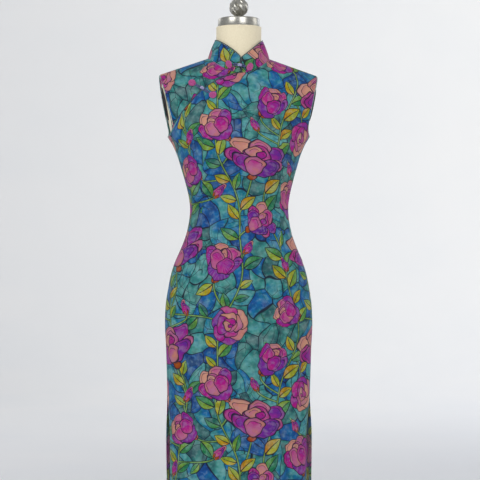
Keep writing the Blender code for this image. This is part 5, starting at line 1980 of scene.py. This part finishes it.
# which of a flute's points are drawn in, and how far
LOBE_SHARES = ((0, 0.865), (1, 0.895), (2, 0.955), (10, 0.955), (11, 0.895))
finial_foot = cap_top + CLEAR
bpy.ops.mesh.primitive_circle_add(
    vertices=FLUTES * POINTS_A_FLUTE,
    radius=FINIAL_RINGS[0][0],
    fill_type="NGON",
    location=(0.0, NECK_Y, finial_foot),
)
finial = named_start("fluted_finial")
axis = (0.0, NECK_Y, finial_foot)
for step, share in LOBE_SHARES:
    only(finial, "VERT", lambda vert: vert.index % POINTS_A_FLUTE == step)
    bpy.ops.transform.resize(value=(share, share, 1.0), center_override=axis)
bpy.ops.mesh.select_mode(type="FACE")
select_everything()
for (r, rise), (next_r, next_rise) in zip(FINIAL_RINGS, FINIAL_RINGS[1:]):
    step_up = next_rise - rise
    bpy.ops.mesh.extrude_region_move(TRANSFORM_OT_translate={"value": (0.0, 0.0, step_up)})
    size = next_r / r
    bpy.ops.transform.resize(value=(size, size, 1.0), center_override=axis)
    bpy.ops.transform.rotate(
        value=FINIAL_TWIST * step_up / FINIAL_RINGS[-1][1], orient_axis="Z", center_override=axis
    )
select_everything()
bpy.ops.mesh.normals_make_consistent(inside=False)
done_with(finial, 40)
print("finial top at", round(max(v.co.z for v in finial.data.vertices), 4))

# %% [markdown]
# ## Pole and base
#
# The form stands on a steel tube in a heavy round base. For the fine band at each end
# the tube is bisected twice and the strip between is pushed out. The base is a disc
# whose top sweeps up into a hub, inset by inset.

# %% Make the pole
POLE_RADIUS = 0.0125
BASE_RADIUS, BASE_THICKNESS, BASE_ROUNDING = 0.175, 0.012, 0.004
HUB_TOP_Z = 0.045
POLE_BANDS = ((0.06, 0.0606), (0.73, 0.7306))
BAND_HEIGHT = 0.0005
pole = turned_bar("steel_pole", POLE_RADIUS, HUB_TOP_Z + CLEAR, FORM_BOTTOM_Z - CLEAR)
faces_where(pole, lambda middle, normal: abs(normal.z) > FLAT)
stepped(((0.0016, 0.0), (0.0002, -0.0004)))
edges_where(
    pole, lambda a, b: a.xy.length > POLE_RADIUS - NEAR and abs(a.z - b.z) < NEAR / 10
)
rounded(0.0007, 3)
for low, high in POLE_BANDS:
    for cut in (low, high):
        select_everything()
        bpy.ops.mesh.bisect(plane_co=(0.0, 0.0, cut), plane_no=(0.0, 0.0, 1.0))
    faces_where(pole, lambda middle, normal: low < middle.z < high and abs(normal.z) < 0.1)
    bpy.ops.mesh.extrude_region_shrink_fatten(TRANSFORM_OT_shrink_fatten={"value": -BAND_HEIGHT})
done_with(pole)

# %% Make the base
# radius of each ring, from the rim in, and how far it stands above the disc
HUB_RINGS = (
    (0.15, 0.0004), (0.09, 0.001), (0.045, 0.0014), (0.034, 0.002),
    (0.0295, 0.0036), (0.027, 0.0062), (0.0262, 0.0095), (0.0258, 0.03),
    (0.0252, 0.0322), (0.024, 0.033), (0.0165, 0.033), (0.0155, 0.0325),
)
stand = turned_bar("steel_base", BASE_RADIUS, 0.0, BASE_THICKNESS, sides=128)
edges_where(stand, lambda a, b: max(a.z, b.z) < NEAR)
rounded(0.0016, 3)
edges_where(stand, lambda a, b: min(a.z, b.z) > BASE_THICKNESS - NEAR)
rounded(BASE_ROUNDING, 6)
faces_where(stand, lambda middle, normal: normal.z > FLAT and middle.z > BASE_THICKNESS - NEAR)
top_radius, top_rise = BASE_RADIUS - BASE_ROUNDING, 0.0
for radius, rise in HUB_RINGS:
    bpy.ops.mesh.inset(thickness=top_radius - radius, depth=0.0)
    bpy.ops.transform.translate(value=(0.0, 0.0, rise - top_rise))
    top_radius, top_rise = radius, rise
done_with(stand, 24)
print("hub top at", round(max(v.co.z for v in stand.data.vertices), 4))

# %% [markdown]
# ### Polished metal
#
# Real polish is uneven, so a haze of noise varies the steel's roughness, and faint level
# marks remain from the polishing wheel.

# %% Steel
steel = Paint("polished_steel", {"Metallic": 1.0})
spot = steel.place()
drag = steel.noise(steel.vector("MULTIPLY", spot, (40.0, 40.0, 2600.0)), 1.0, 2.0)
haze = steel.noise(spot, 35.0, 3.0)
steel_base = steel.mix(haze, colour("#b8b6ae"), colour("#a3a198"))
polish = steel.math("MULTIPLY_ADD", haze, 0.16, 0.2)
steel.finish(steel_base, steel.bump(drag, 0.00003, 0.25), polish)
steel_nodes = ("neck_cap", "finial", "stand_pole", "stand_base")
for piece, node in zip((neck_cap, finial, pole, stand), steel_nodes):
    piece.data.materials.append(steel.material)
    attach(piece, "root")
    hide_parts(node)
print("steel on", len(steel.tree.nodes), "nodes")

# %% [markdown]
# ## What the cloth is cut from
#
# Each sheet's cut is printed, with the darts still open. A fitted dress hangs from the
# form's shoulders.

# %% State the sheets
for cloth in (front_cloth, back_cloth, flap_cloth, collar_cloth):
    width, length, area = cuts[cloth.name]
    print(cloth.name, round(width, 3), "x", round(length, 3), "m,", round(area, 4), "m2")

# %% [markdown]
# ## Floor, wall, light and camera
#
# A pale floor rises into a pale wall, so no view shows an edge. A disc's rim is extruded
# step by step and widened, as a potter pulls up a bowl.

# %% Floor and wall
FLOOR_RADIUS, SWEEP_RADIUS, SWEEP_STEPS, WALL_HEIGHT = 5.5, 3.5, 16, 3.0
bpy.ops.mesh.primitive_circle_add(
    vertices=128, radius=FLOOR_RADIUS, fill_type="NGON", location=(0.0, 0.0, -0.0005)
)
floor = named_start("floor")
bpy.ops.mesh.select_mode(type="EDGE")
select_everything()
bpy.ops.mesh.region_to_loop()
reach = FLOOR_RADIUS
for i in range(SWEEP_STEPS + 1):
    turn = math.pi / 2 * min((i + 0.5) / SWEEP_STEPS, 1.0)
    step = SWEEP_RADIUS * math.pi / 2 / SWEEP_STEPS if i < SWEEP_STEPS else WALL_HEIGHT
    wider = (reach + step * math.cos(turn)) / reach
    reach = reach * wider
    bpy.ops.mesh.extrude_edges_move(
        TRANSFORM_OT_translate={"value": (0.0, 0.0, step * math.sin(turn))}
    )
    bpy.ops.transform.resize(value=(wider, wider, 1.0), center_override=(0.0, 0.0, 0.0))
select_everything()
bpy.ops.mesh.faces_shade_smooth()
bpy.ops.object.mode_set(mode="OBJECT")
print("the floor rises into a round wall", round(reach, 2), "m away")
pale = Paint("pale_wall", {"Roughness": 0.9})
grain = pale.noise(pale.place(), 1.5, 2.0)
pale.finish(pale.tint(colour("#e8e8e9"), "#e5e6e8", grain, 0.3, 0.7, 0.0, 1.0))
floor.data.materials.append(pale.material)

# %% [markdown]
# ## Light
#
# Two large soft lights, at the upper left and in front, show the dress. Weak ones at the
# side and behind round it off, two washes reach the wall and the floor, and an even sky
# fills the shadows.

# %% Sky and lights
scene = bpy.context.scene
scene.view_settings.view_transform = "Standard"
world = bpy.data.worlds.new("soft_room")
scene.world = world
world.use_nodes = True
sky = world.node_tree.nodes["Background"]
sky.inputs[0].default_value = colour("#eef0f3")
sky.inputs[1].default_value = 0.62

# name, place, what it is aimed at, width and height, watts, tint
LIGHTS = (
    ("window", (-3.2, -3.5, 3.2), (0, 0, 1.0), (2.6, 2.6), 90.0, "#ffffff"),
    ("front", (1.4, -4.6, 2.5), (0, 0, 0.95), (2.8, 2.4), 60.0, "#fdfdff"),
    ("side", (3.4, 0.4, 2.2), (0, 0, 0.9), (1.8, 1.8), 15.0, "#fffdfa"),
    ("behind", (-2.6, 3.4, 3.0), (0, 0, 1.0), (2.0, 2.0), 18.0, "#ffffff"),
    ("wall_wash", (2.4, 4.2, 4.2), (1.3, 9.0, 2.6), (4.0, 1.2), 112.0, "#fffef8"),
    ("foot_wash", (3.6, 3.6, 2.4), (2.0, 4.0, 0.0), (1.4, 2.0), 22.0, "#e4ecff"),
)
for name, spot, aim, size, watts, tint in LIGHTS:
    data = bpy.data.lights.new(name, "AREA")
    data.shape = "RECTANGLE"
    data.size, data.size_y = size
    data.energy = watts
    data.color = colour(tint)[:3]
    lamp = put_in_scene(name, data)
    lamp.location = spot
    lamp.rotation_euler = (Vector(spot) - Vector(aim)).to_track_quat("Z", "Y").to_euler()
print(len(LIGHTS), "lights")

# %% [markdown]
# ## Camera
#
# The camera stands a few steps away and looks level from just below the waist, so
# upright lines stay upright. Its lens follows from the width that has to show.

# %% Camera
CAMERA_FAR, CAMERA_TURN, CAMERA_Z = 3.7, math.radians(-5.0), 0.944
VIEW_WIDTH = 1.1616
VIEW_SHIFT = 1.0 / 480
camera_data = bpy.data.cameras.new("camera")
camera = put_in_scene("camera", camera_data)
scene.camera = camera
across, back = CAMERA_FAR * math.sin(CAMERA_TURN), -CAMERA_FAR * math.cos(CAMERA_TURN)
camera.location = (across, back, CAMERA_Z)
camera.rotation_euler = (math.pi / 2, 0.0, CAMERA_TURN)
camera_data.sensor_width = 36.0
camera_data.lens = camera_data.sensor_width * CAMERA_FAR / VIEW_WIDTH
camera_data.shift_x = VIEW_SHIFT
print("camera", [round(v, 3) for v in camera.location], round(camera_data.lens, 1), "mm")
